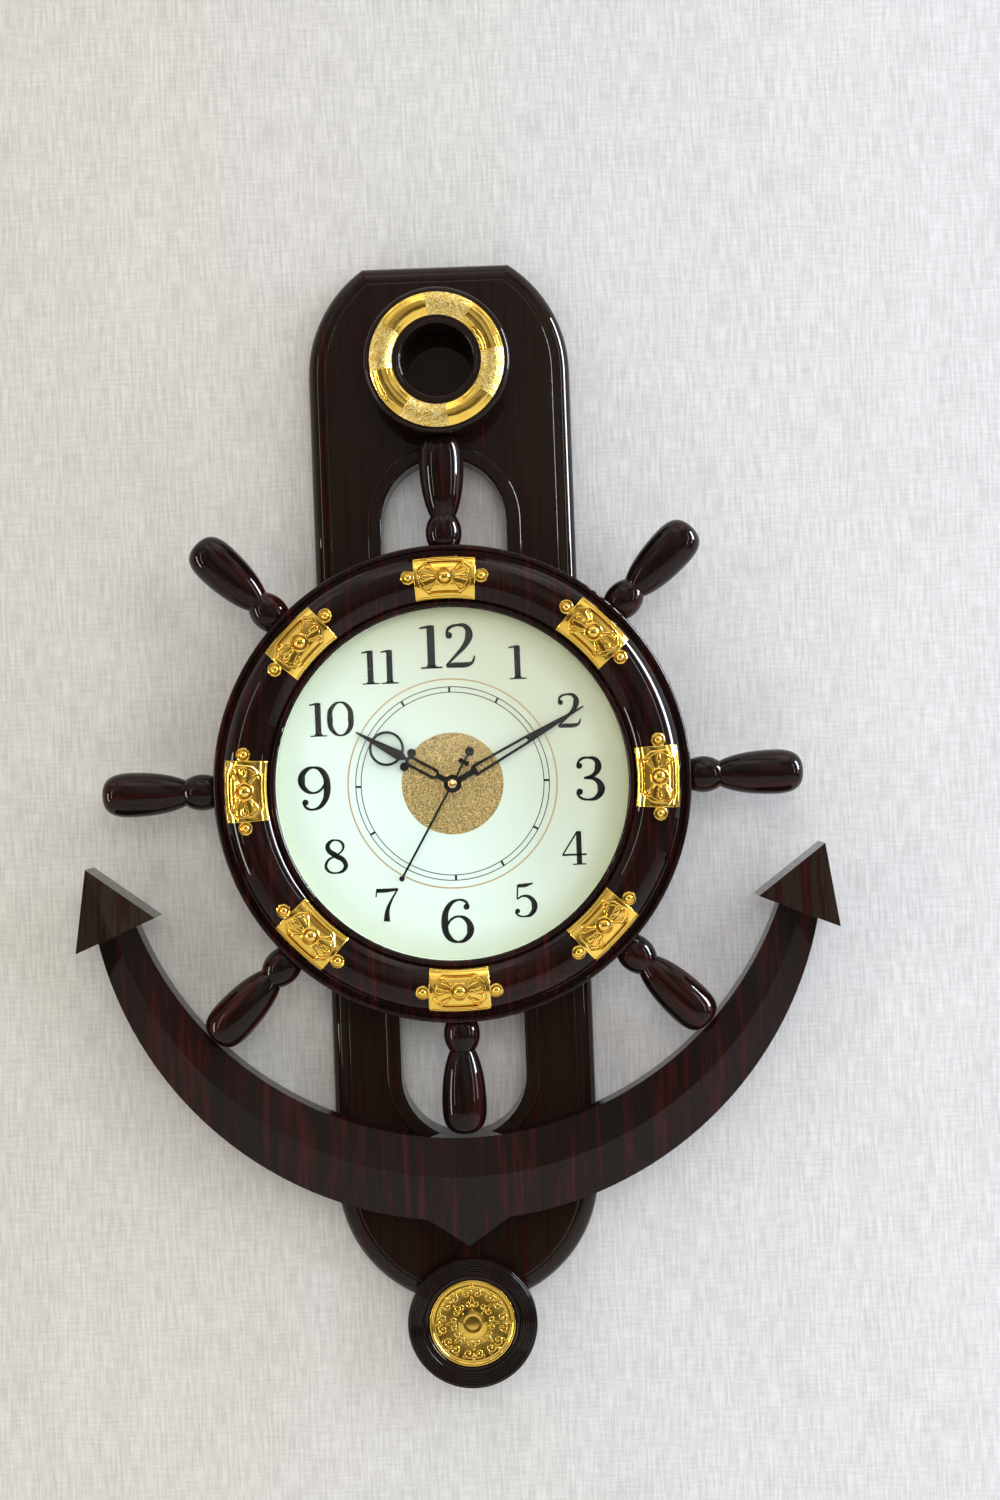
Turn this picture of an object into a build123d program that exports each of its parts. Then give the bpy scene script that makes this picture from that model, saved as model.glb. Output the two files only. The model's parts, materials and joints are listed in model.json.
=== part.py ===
"""Ship's wheel wall clock on an anchor shaped board, with a pendulum below it.

Millimetres. X points right, Y points into the wall and Z points up. The origin is the centre of
the keyhole in the steel hanger plate, on the plate's rear face. Most places below are given as
(across, up) from the axis of the wheel, and as a height above the wall.
"""
import math
import os

from build123d import *

os.makedirs("parts", exist_ok=True)

# Places of the main groups
hanger_rise = 235.0
hanger_recess = 2.6
board_height = 20.0
overrun = 3.0
running_gap = 0.05
seat_gap = 0.2
free_gap = 0.3

# Backboard
board_radius = 67.5
board_top_centre = 211.0
board_bottom_centre = -203.0
board_flat_top = 267.0
board_wall = 2.5
board_border = 9.0
board_border_step = 2.0
board_round = 8.0
slot_radius = 32.0
slot_top_centre = 134.6
slot_bottom_centre = -150.0
bead_width = 7.5
bead_step_width = 2.5
bead_height = 2.5
bead_step_height = 1.0
bead_round = 1.4

# Hanger plate
hanger_length = 44.0
hanger_breadth = 24.0
hanger_thickness = 1.2
keyhole_radius = 4.5
keyhole_slot_width = 4.4
keyhole_slot_rise = 8.0
hanger_screw_reach = 16.0

# Screws that hold the big mouldings, driven from behind
screw_radius = 1.7
screw_length = 13.0
screw_head_radius = 3.9
screw_head_height = 2.3
boss_radius = 4.2
ring_screw_reach = 27.5
wheel_screw_reach = 50.0
anchor_screw_reach = 50.0
anchor_screw_drop = 12.5

# Ring housing and its gilt trim
ring_rise = 211.8
ring_bore_radius = 18.1
ring_front = 52.0
ring_wall = 2.5
ring_round = 2.5
trim_inner_radius = 22.3
trim_outer_radius = 33.7
ring_edge_width = 2.9
ring_radius = trim_outer_radius + ring_edge_width
trim_seat_depth = 1.5
trim_crown = 3.4
trim_panel_count = 4
trim_panel_angle = 45.0
trim_panel_turn = -13.5
trim_panel_relief = 0.5
trim_panel_edge = 1.4

# Wheel rim
rim_radius = 120.2
rim_wall = 2.5
rim_band_width = 3.0
rim_band_height = 44.0
rim_band_crown = 1.4
rim_shelf_width = 4.7
rim_body_outer_height = 46.5
rim_crown_depth = 16.7
rim_crown_height = 54.5
rim_body_depth = 28.7
rim_lip_height = 49.0
rim_lip_margin = 1.2
rim_bead_crown = 1.6
rim_bead_width = 3.2
lip_thickness = 1.5
glass_ledge = 3.9
inner_wall_end = 39.0

# Dial stack, from the back to the front
dial_board_margin = 7.8
dial_screw_margin = 2.7
dial_board_thickness = 3.0
dial_sheet_thickness = 0.4
glass_thickness = 2.0
spacer_width = 3.2
dial_screw_count = 4
dial_screw_turn = 45.0
dial_screw_radius = 1.1
dial_screw_head_radius = 2.3
dial_screw_head_height = 1.2
dial_screw_length = 8.0
dial_boss_radius = 3.0
dial_boss_length = 11.0

# Turned handles: half widths at distances from the rim
handle_count = 8
handle_height = 35.0
handle_collar_radius = 7.6
handle_ball_radius = 9.2
handle_ball_centre = 7.0
handle_neck_radius = 6.5
handle_neck = 15.0
handle_body_radius = 11.3
handle_body_centre = 39.5
handle_shoulder_radius = 9.9
handle_shoulder = 25.8
handle_end_radius = 9.2
handle_end = 53.2
handle_tip = 57.2
spigot_radius = 4.0
spigot_length = 2.2

# Ornament plates on the rim
plate_outer_margin = 1.5
plate_inner_margin = 0.9
plate_width_outer = 31.5
plate_width_inner = 29.4
plate_thickness = 0.9
plate_frame_width = 2.2
plate_frame_relief = 1.0
plate_corner_cut = 4.4
plate_overall_width = 44.0
plate_tab_width = 7.4
plate_dome_radius = 2.2
plate_boss_radius = 3.4
plate_boss_ring_radius = 4.9
plate_petal_length = 7.6
plate_petal_width = 2.5
plate_petal_turn = 33.0
plate_petal_relief = 1.1
plate_boss_relief = 1.9

# Anchor
anchor_inner_centre = -5.8
anchor_rim_room = 53.8
anchor_inner_radius = rim_radius + anchor_rim_room
anchor_ridge_shift = 12.0
anchor_ridge_growth = 6.7
anchor_outer_shift = 29.2
anchor_outer_growth = 12.6
anchor_inner_height = 34.0
anchor_ridge_height = 40.0
anchor_outer_height = 35.0
anchor_wall = 2.5
crown_half_width = 21.2
crown_corner_lift = 1.5
crown_tip_drop = 13.6
crown_notch_half_width = 12.5
crown_notch_top = 29.0

# Flukes, given for the right hand one
fluke_place_angle = -17.0
fluke_place_margin = -0.8
fluke_length = 36.6
fluke_width = 43.8
fluke_tilt = 67.5
fluke_edge_height = 44.0
fluke_ridge_height = 51.0
fluke_wall = 2.5
tongue_length = 8.0
tongue_width = 10.0
tongue_depth = 11.0
tongue_height = 29.0

# Quartz units: the clock movement and the pendulum drive share these
unit_depth = 16.0
unit_width = 56.0
unit_wall = 1.2
unit_corner = 3.0
cell_radius = 7.05
cell_length = 49.2
cell_nub_radius = 2.6
cell_nub_length = 1.0
cell_gap = 0.1
bay_wall = 1.0
bay_gap = 0.25
contact_thickness = 0.4
contact_width = 9.0
contact_spring_radius = 2.2

# Clock movement
movement_height = 36.0
bushing_radius = 4.0
bushing_length = 5.2
nut_radius = 5.2
nut_thickness = 1.3
nut_sides = 6
seconds_arbor_radius = 0.6
minute_tube_radius = 1.5
hour_tube_radius = 2.5
arbor_radius = 0.5
motion_post_radius = 0.8
clutch_radius = 2.6
clutch_thickness = 0.3
pivot_depth = 0.6
wheel_thickness = 1.0
plate_gap = 0.2
hour_layer = 33.5
motion_layer = 31.9
centre_layer = 30.2
third_layer = 28.5
train_plate_rear = 27.2
train_plate_thickness = 1.0
seconds_layer = 25.8
step_layer = 24.2
train_plate_half_width = 26.0
train_plate_top = 17.6
train_plate_bottom = -10.4
post_radius = 1.6
post_reach = 24.0
post_rise = 14.5
post_drop = -7.5
motion_module = 0.6
third_module = 0.3
seconds_module = 0.35
step_module = 0.25
hour_teeth = 32
motion_pinion_teeth = 8
motion_teeth = 24
cannon_teeth = 8
knob_teeth = 12
third_teeth = 60
seconds_pinion_teeth = 8
third_pinion_teeth = 8
centre_teeth = 64
seconds_teeth = 40
step_pinion_teeth = 8
step_teeth = 48
rotor_pinion_teeth = 8
addendum_share = 0.8
dedendum_share = 1.15
wheel_tip_share = 0.10
wheel_root_share = 0.27
pinion_tip_share = 0.09
pinion_root_share = 0.20
third_angle = 180.0
step_angle = 100.0
rotor_angle = 60.0
motion_angle = 0.0
knob_angle = 40.0
knob_radius = 5.0
knob_thickness = 2.8
knob_stem_radius = 1.3
knob_grip_count = 12
knob_grip_radius = 0.7
magnet_radius = 2.4
magnet_thickness = 1.4
stator_gap = 0.5
stator_thickness = 1.0
stator_rear = 26.2
stator_half_width = 16.0
stator_band_half_height = 3.9
stator_leg_width = 4.5
core_rise = 21.9
core_half_height = 1.6
coil_half_length = 10.0
coil_half_height = 2.9
coil_half_depth = 2.6
coil_flange = 0.5
circuit_width = 12.0
circuit_breadth = 10.0
circuit_thickness = 1.0
circuit_place = (18.5, -4.6)

# Hands
hand_thickness = 0.6
hour_hand_height = 41.5
minute_hand_height = 42.7
second_hand_height = 43.9
hour_hand_length = 55.0
hour_hand_angle = 300.0
hour_hub_radius = 4.6
hour_ring_radius = 8.8
hour_ring_stroke = 1.3
hour_ring_place = 37.6
hour_stem_width = 2.7
hour_loop_start = 8.0
hour_loop_end = 26.6
hour_loop_width = 5.5
hour_loop_stroke = 1.45
hour_ball_radius = 2.2
hour_ball_place = 25.4
hour_ball_reach = 3.9
hour_blade_width = 5.2
hour_blade_waist = 30.0
hand_tip_width = 0.8
minute_bar_width = 1.4
minute_hand_length = 76.5
minute_hand_angle = 61.5
minute_hub_radius = 4.4
minute_slot_start = 11.5
minute_shoulder = 1.4
minute_slot_end = 43.6
minute_shaft_width = 5.9
minute_shaft_end_width = 4.4
minute_stem_width = 2.9
second_hand_length = 54.0
second_hand_angle = 210.0
second_hand_width = 1.1
second_ball_radius = 1.4
second_tail_length = 18.3
second_tail_ball_radius = 2.3
second_hub_radius = 2.4
second_hub_height = 1.0
second_leaf_radius = 1.35
second_leaf_place = 12.3
second_leaf_reach = 1.5

# Pendulum and its drive
drive_centre_rise = -215.0
drive_front = 17.5
swing_rise = -198.0
swing_arbor_radius = 1.5
swing_arbor_front = 29.0
rod_height = 24.4
rod_thickness = 2.4
rod_width = 11.0
rod_eye_radius = 7.0
bob_drop = 39.8
bob_radius = 33.0
bob_rear = 22.6
bob_wall = 2.0
bob_slope_inner = 22.4
bob_slope_outer = 25.0
bob_slope_drop = 1.8
bob_groove_count = 5
bob_groove_depth = 0.6
bob_edge = 1.0
medallion_radius = 22.2
medallion_thickness = 1.4
medallion_rim_width = 1.7
medallion_rim_relief = 0.8
medallion_disc_radius = 5.0
medallion_disc_relief = 0.5
scroll_count = 8
scroll_place = 12.8
scroll_radius = 3.4
scroll_stroke = 0.9
scroll_relief = 0.5
lever_length = 28.0
lever_width = 5.0
lever_thickness = 2.4
swing_magnet_radius = 3.6
swing_magnet_thickness = 2.0
drive_coil_radius = 5.4
drive_coil_core_radius = 1.4
drive_coil_length = 3.4
swing_magnet_gap = 0.8
clip_thickness = 2.0
clip_width = 6.0
clip_lip = 1.2
clip_lip_thickness = 0.9
clip_spread = 15.0

# Places worked out from the sizes above
axis_rise = -hanger_rise
rim_band_inner = rim_radius - rim_band_width
rim_body_outer = rim_radius - rim_shelf_width
rim_crown_radius = rim_radius - rim_crown_depth
rim_body_inner = rim_radius - rim_body_depth
dial_opening_radius = rim_body_inner - rim_bead_width
glass_pocket_radius = dial_opening_radius + glass_ledge
dial_board_radius = glass_pocket_radius + dial_board_margin
board_screw_place = dial_board_radius - dial_screw_margin
wheel_screw_rise = math.sqrt((rim_crown_radius + rim_lip_margin) ** 2 - wheel_screw_reach ** 2)
plate_outer_place = rim_body_outer - plate_outer_margin
plate_inner_place = rim_body_inner + plate_inner_margin
anchor_ridge_centre = anchor_inner_centre - anchor_ridge_shift
anchor_ridge_radius = anchor_inner_radius + anchor_ridge_growth
anchor_outer_centre = anchor_inner_centre - anchor_outer_shift
anchor_outer_radius = anchor_inner_radius + anchor_outer_growth
inner_low = anchor_inner_centre - anchor_inner_radius
ridge_low = anchor_ridge_centre - anchor_ridge_radius
outer_low = anchor_outer_centre - anchor_outer_radius
anchor_screw_rise = inner_low - anchor_screw_drop
crown_corner_rise = outer_low + crown_corner_lift
crown_tip_rise = outer_low - crown_tip_drop
bob_rise = crown_tip_rise - bob_drop
fluke_reach = anchor_ridge_radius + fluke_place_margin
fluke_middle = (
    fluke_reach * math.cos(math.radians(fluke_place_angle)),
    anchor_ridge_centre + fluke_reach * math.sin(math.radians(fluke_place_angle)),
)
wheel_axis = Axis((0, 0, axis_rise), (0, -1, 0))
unit_front_inner = movement_height - unit_wall
unit_rear = movement_height - unit_depth
cover_front = unit_rear + unit_wall
cell_height = unit_front_inner - cell_gap - cell_radius
glass_rear = rim_lip_height - lip_thickness - glass_thickness
sheet_front = inner_wall_end + dial_sheet_thickness
stack_radius = glass_pocket_radius - seat_gap
panel_rear = board_height - board_wall


def front(height, across=0, up=0):
    """A plane parallel to the wall that faces the room, centred at (across, up) from the wheel's axis."""
    return Plane(origin=(across, hanger_recess - height, axis_rise + up), x_dir=(1, 0, 0), z_dir=(0, -1, 0))


def side(up=0):
    """A plane for turned profiles: local X is the radius and local Y is the height above the wall."""
    return Plane(origin=(0, hanger_recess, axis_rise + up), x_dir=(1, 0, 0), z_dir=(0, 0, -1))


def turned_axis(across=0, up=0):
    return Axis((across, 0, axis_rise + up), (0, -1, 0))


def save(part, name):
    part.label = name
    export_step(part, f"parts/{name}.step")


def board_outline(inset):
    """The board's outline, moved inwards by an inset."""
    radius = board_radius - inset
    with BuildSketch() as outline:
        with Locations((0, board_top_centre), (0, board_bottom_centre)):
            Circle(radius)
        with Locations((0, board_bottom_centre)):
            Rectangle(2 * radius, board_top_centre - board_bottom_centre, align=(Align.CENTER, Align.MIN))
        with Locations((0, board_flat_top - inset)):
            Rectangle(2 * board_radius, board_radius, align=(Align.CENTER, Align.MIN), mode=Mode.SUBTRACT)
    return outline.sketch


def slot_outline(growth):
    """The long slot's outline, moved outwards by a growth."""
    radius = slot_radius + growth
    with BuildSketch() as outline:
        with Locations((0, slot_top_centre), (0, slot_bottom_centre)):
            Circle(radius)
        with Locations((0, slot_bottom_centre)):
            Rectangle(2 * radius, slot_top_centre - slot_bottom_centre, align=(Align.CENTER, Align.MIN))
    return outline.sketch


# Places of the screws that come through the board, and the height of the face under each head
ring_screws = [(-ring_screw_reach, ring_rise), (ring_screw_reach, ring_rise)]
wheel_screws = []
for turn_x in (-1, 1):
    for turn_z in (-1, 1):
        wheel_screws.append((turn_x * wheel_screw_reach, turn_z * wheel_screw_rise))
anchor_screws = [(-anchor_screw_reach, anchor_screw_rise), (anchor_screw_reach, anchor_screw_rise)]
hanger_screws = [(-hanger_screw_reach, hanger_rise), (hanger_screw_reach, hanger_rise)]
board_screws = ring_screws + wheel_screws + anchor_screws

# The room that parts standing on the board leave for the bead round the slot
with BuildPart() as bead_room:
    with BuildSketch(front(board_height - overrun)):
        add(slot_outline(bead_width + bead_step_width + free_gap))
    extrude(amount=overrun + bead_height + free_gap)

# The hollow behind the board's face
with BuildPart() as board_hollow:
    with BuildSketch(front(-overrun)):
        add(board_outline(board_wall))
    extrude(amount=overrun + board_height - board_border_step - board_wall)
    fillet(board_hollow.edges().group_by(Axis.Y)[0], radius=board_round - board_wall)
    with BuildSketch(front(0)):
        add(board_outline(board_border + board_wall))
    extrude(amount=panel_rear)
    with BuildSketch(front(-overrun)):
        add(slot_outline(board_wall))
    extrude(amount=2 * overrun + board_height, mode=Mode.SUBTRACT)

with BuildPart() as backboard:
    with BuildSketch(front(0)):
        add(board_outline(0))
    extrude(amount=board_height - board_border_step)
    fillet(backboard.edges().group_by(Axis.Y)[0], radius=board_round)
    with BuildSketch(front(board_height - board_border_step)):
        add(board_outline(board_border))
    extrude(amount=board_border_step)
    fillet(backboard.edges().group_by(Axis.Y)[0], radius=board_border_step / 2)
    with BuildSketch(front(board_height)):
        add(slot_outline(bead_width + bead_step_width))
    extrude(amount=bead_step_height)
    with BuildSketch(front(board_height)):
        add(slot_outline(bead_width))
    extrude(amount=bead_height)
    add(board_hollow.part, mode=Mode.SUBTRACT)
    with BuildSketch(front(-overrun)):
        add(slot_outline(0))
    extrude(amount=2 * overrun + board_height + bead_height, mode=Mode.SUBTRACT)
    fillet(backboard.edges().group_by(Axis.Y)[0], radius=bead_round)
    # Screw holes, and two bosses for the hanger plate
    with BuildSketch(front(panel_rear - overrun)):
        with Locations(*board_screws):
            Circle(screw_radius + seat_gap)
    extrude(amount=2 * overrun + board_wall, mode=Mode.SUBTRACT)
    with BuildSketch(front(hanger_recess + hanger_thickness)):
        with Locations(*hanger_screws):
            Circle(boss_radius)
    extrude(amount=board_height - hanger_recess - hanger_thickness - board_wall / 2)
    with BuildSketch(front(hanger_recess + hanger_thickness - overrun)):
        with Locations(*hanger_screws):
            Circle(screw_radius + running_gap)
    extrude(amount=overrun + screw_length - hanger_thickness, mode=Mode.SUBTRACT)
    # Hole for the pendulum's arbor, and four clips that hold the drive unit
    with BuildSketch(front(panel_rear - overrun)):
        with Locations((0, swing_rise)):
            Circle(swing_arbor_radius + free_gap)
    extrude(amount=2 * overrun + board_wall, mode=Mode.SUBTRACT)
    clip_base = drive_front - unit_depth
    clip_reach = unit_width / 2 + seat_gap
    for turn in (-1, 1):
        for lift in (-1, 1):
            clip_rise = drive_centre_rise + lift * clip_spread
            with BuildSketch(front(clip_base - clip_lip_thickness - seat_gap)):
                with Locations((turn * (clip_reach + clip_thickness / 2), clip_rise)):
                    Rectangle(clip_thickness, clip_width)
            extrude(amount=unit_depth + clip_lip_thickness + seat_gap + board_wall / 2)
            with BuildSketch(front(clip_base - clip_lip_thickness - seat_gap)):
                with Locations((turn * (clip_reach - clip_lip / 2), clip_rise)):
                    Rectangle(clip_lip, clip_width)
            extrude(amount=clip_lip_thickness)
save(backboard.part, "backboard")

with BuildPart() as hanger_plate:
    with BuildSketch(front(hanger_recess, 0, hanger_rise)):
        RectangleRounded(hanger_length, hanger_breadth, unit_corner)
        Circle(keyhole_radius, mode=Mode.SUBTRACT)
        with Locations((0, keyhole_slot_rise / 2)):
            Rectangle(keyhole_slot_width, keyhole_slot_rise, mode=Mode.SUBTRACT)
        with Locations((0, keyhole_slot_rise)):
            Circle(keyhole_slot_width / 2, mode=Mode.SUBTRACT)
        with Locations((-hanger_screw_reach, 0), (hanger_screw_reach, 0)):
            Circle(screw_radius + seat_gap, mode=Mode.SUBTRACT)
    extrude(amount=hanger_thickness)
save(hanger_plate.part, "hanger_plate")

with BuildPart() as assembly_screws:
    for places, seat in ((board_screws, panel_rear), (hanger_screws, hanger_recess)):
        with BuildSketch(front(seat - screw_head_height)):
            with Locations(*places):
                Circle(screw_head_radius)
        extrude(amount=screw_head_height)
        with BuildSketch(front(seat)):
            with Locations(*places):
                Circle(screw_radius)
        extrude(amount=screw_length)
    fillet(assembly_screws.edges().filter_by(GeomType.CIRCLE).filter_by(
        lambda edge: abs(edge.radius - screw_head_radius) < running_gap).group_by(Axis.Y)[-1],
        radius=screw_head_height / 3)
save(assembly_screws.part, "assembly_screws")

# Ring housing: a short tube with a deep bore, hollow behind its face
with BuildPart() as ring_housing:
    with BuildSketch(side(ring_rise)):
        with BuildLine():
            Polyline(
                (ring_bore_radius, board_height),
                (ring_bore_radius, ring_front),
                (trim_inner_radius - running_gap, ring_front),
                (trim_inner_radius - running_gap, ring_front - trim_seat_depth),
                (trim_outer_radius + running_gap, ring_front - trim_seat_depth),
                (trim_outer_radius + running_gap, ring_front),
                (ring_radius, ring_front),
                (ring_radius, board_height),
                (ring_radius - ring_wall, board_height),
                (ring_radius - ring_wall, ring_front - trim_seat_depth - ring_wall),
                (ring_bore_radius + ring_wall, ring_front - trim_seat_depth - ring_wall),
                (ring_bore_radius + ring_wall, board_height),
                (ring_bore_radius, board_height),
            )
        make_face()
    revolve(axis=turned_axis(0, ring_rise))
    front_edges = ring_housing.edges().filter_by(GeomType.CIRCLE).group_by(Axis.Y)[0].sort_by(SortBy.RADIUS)
    fillet(front_edges[-1], radius=ring_round)
    fillet(front_edges[0], radius=ring_wall / 3)
    with BuildSketch(front(board_height)):
        with Locations(*ring_screws):
            Circle(boss_radius)
    extrude(amount=ring_front - trim_seat_depth - board_height - ring_wall / 2)
    with BuildSketch(front(board_height - overrun)):
        with Locations(*ring_screws):
            Circle(screw_radius + running_gap)
    extrude(amount=overrun + screw_length, mode=Mode.SUBTRACT)
    add(bead_room.part, mode=Mode.SUBTRACT)
save(ring_housing.part, "ring_housing")

# Gilt trim: a low crowned ring, with four panels that stand a little proud of it
trim_seat = ring_front - trim_seat_depth
trim_middle = (trim_inner_radius + trim_outer_radius) / 2


def trim_section(relief, margin):
    """Half section of the trim, raised by a relief and narrowed at both sides by a margin."""
    with BuildSketch(side(ring_rise)) as section:
        with BuildLine():
            Line((trim_inner_radius + margin, trim_seat), (trim_outer_radius - margin, trim_seat))
            Line((trim_outer_radius - margin, trim_seat), (trim_outer_radius - margin, ring_front + relief))
            ThreePointArc((trim_outer_radius - margin, ring_front + relief),
                          (trim_middle, ring_front + relief + trim_crown - trim_seat_depth),
                          (trim_inner_radius + margin, ring_front + relief))
            Line((trim_inner_radius + margin, ring_front + relief), (trim_inner_radius + margin, trim_seat))
        make_face()
    return section.sketch


with BuildPart() as ring_trim:
    add(trim_section(0, 0))
    revolve(axis=turned_axis(0, ring_rise))
    for number in range(trim_panel_count):
        panel_turn = trim_panel_turn + trim_panel_angle / 2 + number * 360 / trim_panel_count
        panel_start = trim_section(trim_panel_relief, trim_panel_edge)
        panel_start = panel_start.rotate(turned_axis(0, ring_rise), panel_turn)
        add(revolve(panel_start, turned_axis(0, ring_rise), trim_panel_angle, mode=Mode.PRIVATE))
save(ring_trim.part, "ring_trim")

# Wheel rim: one turned moulding, hollow behind
cavity_outer = rim_radius - rim_wall
cavity_inner = glass_pocket_radius + rim_wall
ceiling_outer = rim_body_outer - rim_wall
with BuildPart() as wheel_rim:
    with BuildSketch(side()):
        with BuildLine():
            Line((dial_opening_radius, rim_lip_height - lip_thickness), (dial_opening_radius, rim_lip_height))
            ThreePointArc(
                (dial_opening_radius, rim_lip_height),
                ((dial_opening_radius + rim_body_inner) / 2, rim_lip_height + rim_bead_crown),
                (rim_body_inner, rim_lip_height),
            )
            ThreePointArc(
                (rim_body_inner, rim_lip_height),
                (rim_crown_radius, rim_crown_height),
                (rim_body_outer, rim_body_outer_height),
            )
            Polyline((rim_body_outer, rim_body_outer_height), (rim_body_outer, rim_band_height),
                     (rim_band_inner, rim_band_height))
            ThreePointArc(
                (rim_band_inner, rim_band_height),
                ((rim_band_inner + rim_radius) / 2, rim_band_height + rim_band_crown),
                (rim_radius, rim_band_height),
            )
            Polyline(
                (rim_radius, rim_band_height),
                (rim_radius, board_height),
                (cavity_outer, board_height),
                (cavity_outer, rim_band_height - rim_wall),
                (ceiling_outer, rim_band_height - rim_wall),
            )
            ThreePointArc(
                (ceiling_outer, rim_band_height - rim_wall),
                (rim_crown_radius, rim_crown_height - rim_wall),
                (cavity_inner, rim_lip_height - rim_wall),
            )
            Polyline(
                (cavity_inner, rim_lip_height - rim_wall),
                (cavity_inner, inner_wall_end),
                (glass_pocket_radius, inner_wall_end),
                (glass_pocket_radius, rim_lip_height - lip_thickness),
                (dial_opening_radius, rim_lip_height - lip_thickness),
            )
        make_face()
    revolve(axis=turned_axis())
    with BuildSketch(front(board_height)):
        with Locations(*wheel_screws):
            Circle(boss_radius)
    extrude(amount=rim_crown_height - rim_wall / 2 - board_height)
    with BuildSketch(front(board_height - overrun)):
        with Locations(*wheel_screws):
            Circle(screw_radius + running_gap)
    extrude(amount=overrun + screw_length, mode=Mode.SUBTRACT)
    with BuildSketch(front(inner_wall_end)):
        with PolarLocations(board_screw_place, dial_screw_count, start_angle=dial_screw_turn):
            Circle(dial_boss_radius)
    extrude(amount=dial_boss_length)
    with BuildSketch(front(inner_wall_end - overrun)):
        with PolarLocations(board_screw_place, dial_screw_count, start_angle=dial_screw_turn):
            Circle(dial_screw_radius + running_gap)
    extrude(amount=overrun + dial_screw_length, mode=Mode.SUBTRACT)
    add(bead_room.part, mode=Mode.SUBTRACT)
    # A blind socket for the spigot of each handle
    for number in range(handle_count):
        turn = math.radians(number * 360 / handle_count)
        socket_plane = Plane(
            origin=(
                (rim_radius - spigot_length) * math.sin(turn),
                hanger_recess - handle_height,
                axis_rise + (rim_radius - spigot_length) * math.cos(turn),
            ),
            z_dir=(math.sin(turn), 0, math.cos(turn)),
        )
        with BuildSketch(socket_plane):
            Circle(spigot_radius + running_gap)
        extrude(amount=overrun, mode=Mode.SUBTRACT)
save(wheel_rim.part, "wheel_rim")

# Turned handle, made once pointing up and then turned to its eight places
with BuildPart() as handle_blank:
    with BuildSketch(front(handle_height)):
        with BuildLine():
            Polyline(
                (0, rim_radius - spigot_length + seat_gap),
                (spigot_radius, rim_radius - spigot_length + seat_gap),
                (spigot_radius, rim_radius),
                (handle_collar_radius, rim_radius),
            )
            ThreePointArc(
                (handle_collar_radius, rim_radius),
                (handle_ball_radius, rim_radius + handle_ball_centre),
                (handle_neck_radius, rim_radius + handle_neck),
            )
            Spline(
                (handle_neck_radius, rim_radius + handle_neck),
                (handle_shoulder_radius, rim_radius + handle_shoulder),
                (handle_body_radius, rim_radius + handle_body_centre),
                (handle_end_radius, rim_radius + handle_end),
                (0, rim_radius + handle_tip),
                tangents=((1 / 2, 1), (-1, 0)),
            )
            Line((0, rim_radius + handle_tip), (0, rim_radius - spigot_length + seat_gap))
        make_face()
    revolve(axis=Axis((0, hanger_recess - handle_height, axis_rise), (0, 0, 1)))

for number in range(handle_count):
    with BuildPart() as wheel_handle:
        add(handle_blank.part.rotate(wheel_axis, -number * 360 / handle_count))
        # The top handle's end is hollowed to sit against the ring
        with BuildSketch(front(board_height, 0, ring_rise)):
            Circle(ring_radius + free_gap)
        extrude(amount=2 * handle_height, mode=Mode.SUBTRACT)
    save(wheel_handle.part, f"wheel_handle_{number + 1}")


def rim_skin(low, high):
    """A shell that follows the crowned face of the rim, from one offset above it to another."""
    with BuildSketch(side()) as section:
        with BuildLine():
            ThreePointArc(
                (rim_body_inner, rim_lip_height + low),
                (rim_crown_radius, rim_crown_height + low),
                (rim_body_outer, rim_body_outer_height + low),
            )
            Line((rim_body_outer, rim_body_outer_height + low),
                 (rim_body_outer, rim_body_outer_height + high))
            ThreePointArc(
                (rim_body_outer, rim_body_outer_height + high),
                (rim_crown_radius, rim_crown_height + high),
                (rim_body_inner, rim_lip_height + high),
            )
            Line((rim_body_inner, rim_lip_height + high), (rim_body_inner, rim_lip_height + low))
        make_face()
    return revolve(section.sketch, turned_axis(), mode=Mode.PRIVATE)


def plate_ground(margin, corner):
    """The plate's outline between two arcs of the rim, with a margin inside and cut corners."""
    outer = plate_outer_place - margin
    inner = plate_inner_place + margin
    half_outer = plate_width_outer / 2 - margin
    half_inner = plate_width_inner / 2 - margin
    outer_edge = math.sqrt(outer ** 2 - half_outer ** 2)
    inner_edge = math.sqrt(inner ** 2 - half_inner ** 2)
    with BuildSketch() as outline:
        with BuildLine():
            ThreePointArc((-half_outer, outer_edge), (0, outer), (half_outer, outer_edge))
            Line((half_outer, outer_edge), (half_inner, inner_edge))
            ThreePointArc((half_inner, inner_edge), (0, inner), (-half_inner, inner_edge))
            Line((-half_inner, inner_edge), (-half_outer, outer_edge))
        make_face()
        if corner > 0:
            chamfer(outline.vertices(), length=corner)
    return outline.sketch


plate_middle = (plate_outer_place + plate_inner_place) / 2
plate_tab_reach = plate_overall_width / 2 - plate_tab_width / 2
plate_petal_place = plate_boss_ring_radius + plate_petal_length / 2 - plate_petal_width / 2
skin_bottom = running_gap
with BuildPart() as plate_blank:
    with BuildSketch(front(board_height)):
        add(plate_ground(0, 0))
        with Locations((0, plate_middle)):
            Rectangle(2 * plate_tab_reach, plate_tab_width)
        with Locations((-plate_tab_reach, plate_middle), (plate_tab_reach, plate_middle)):
            Circle(plate_tab_width / 2)
    extrude(amount=rim_crown_height + board_height)
    add(rim_skin(skin_bottom, plate_thickness), mode=Mode.INTERSECT)

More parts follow.
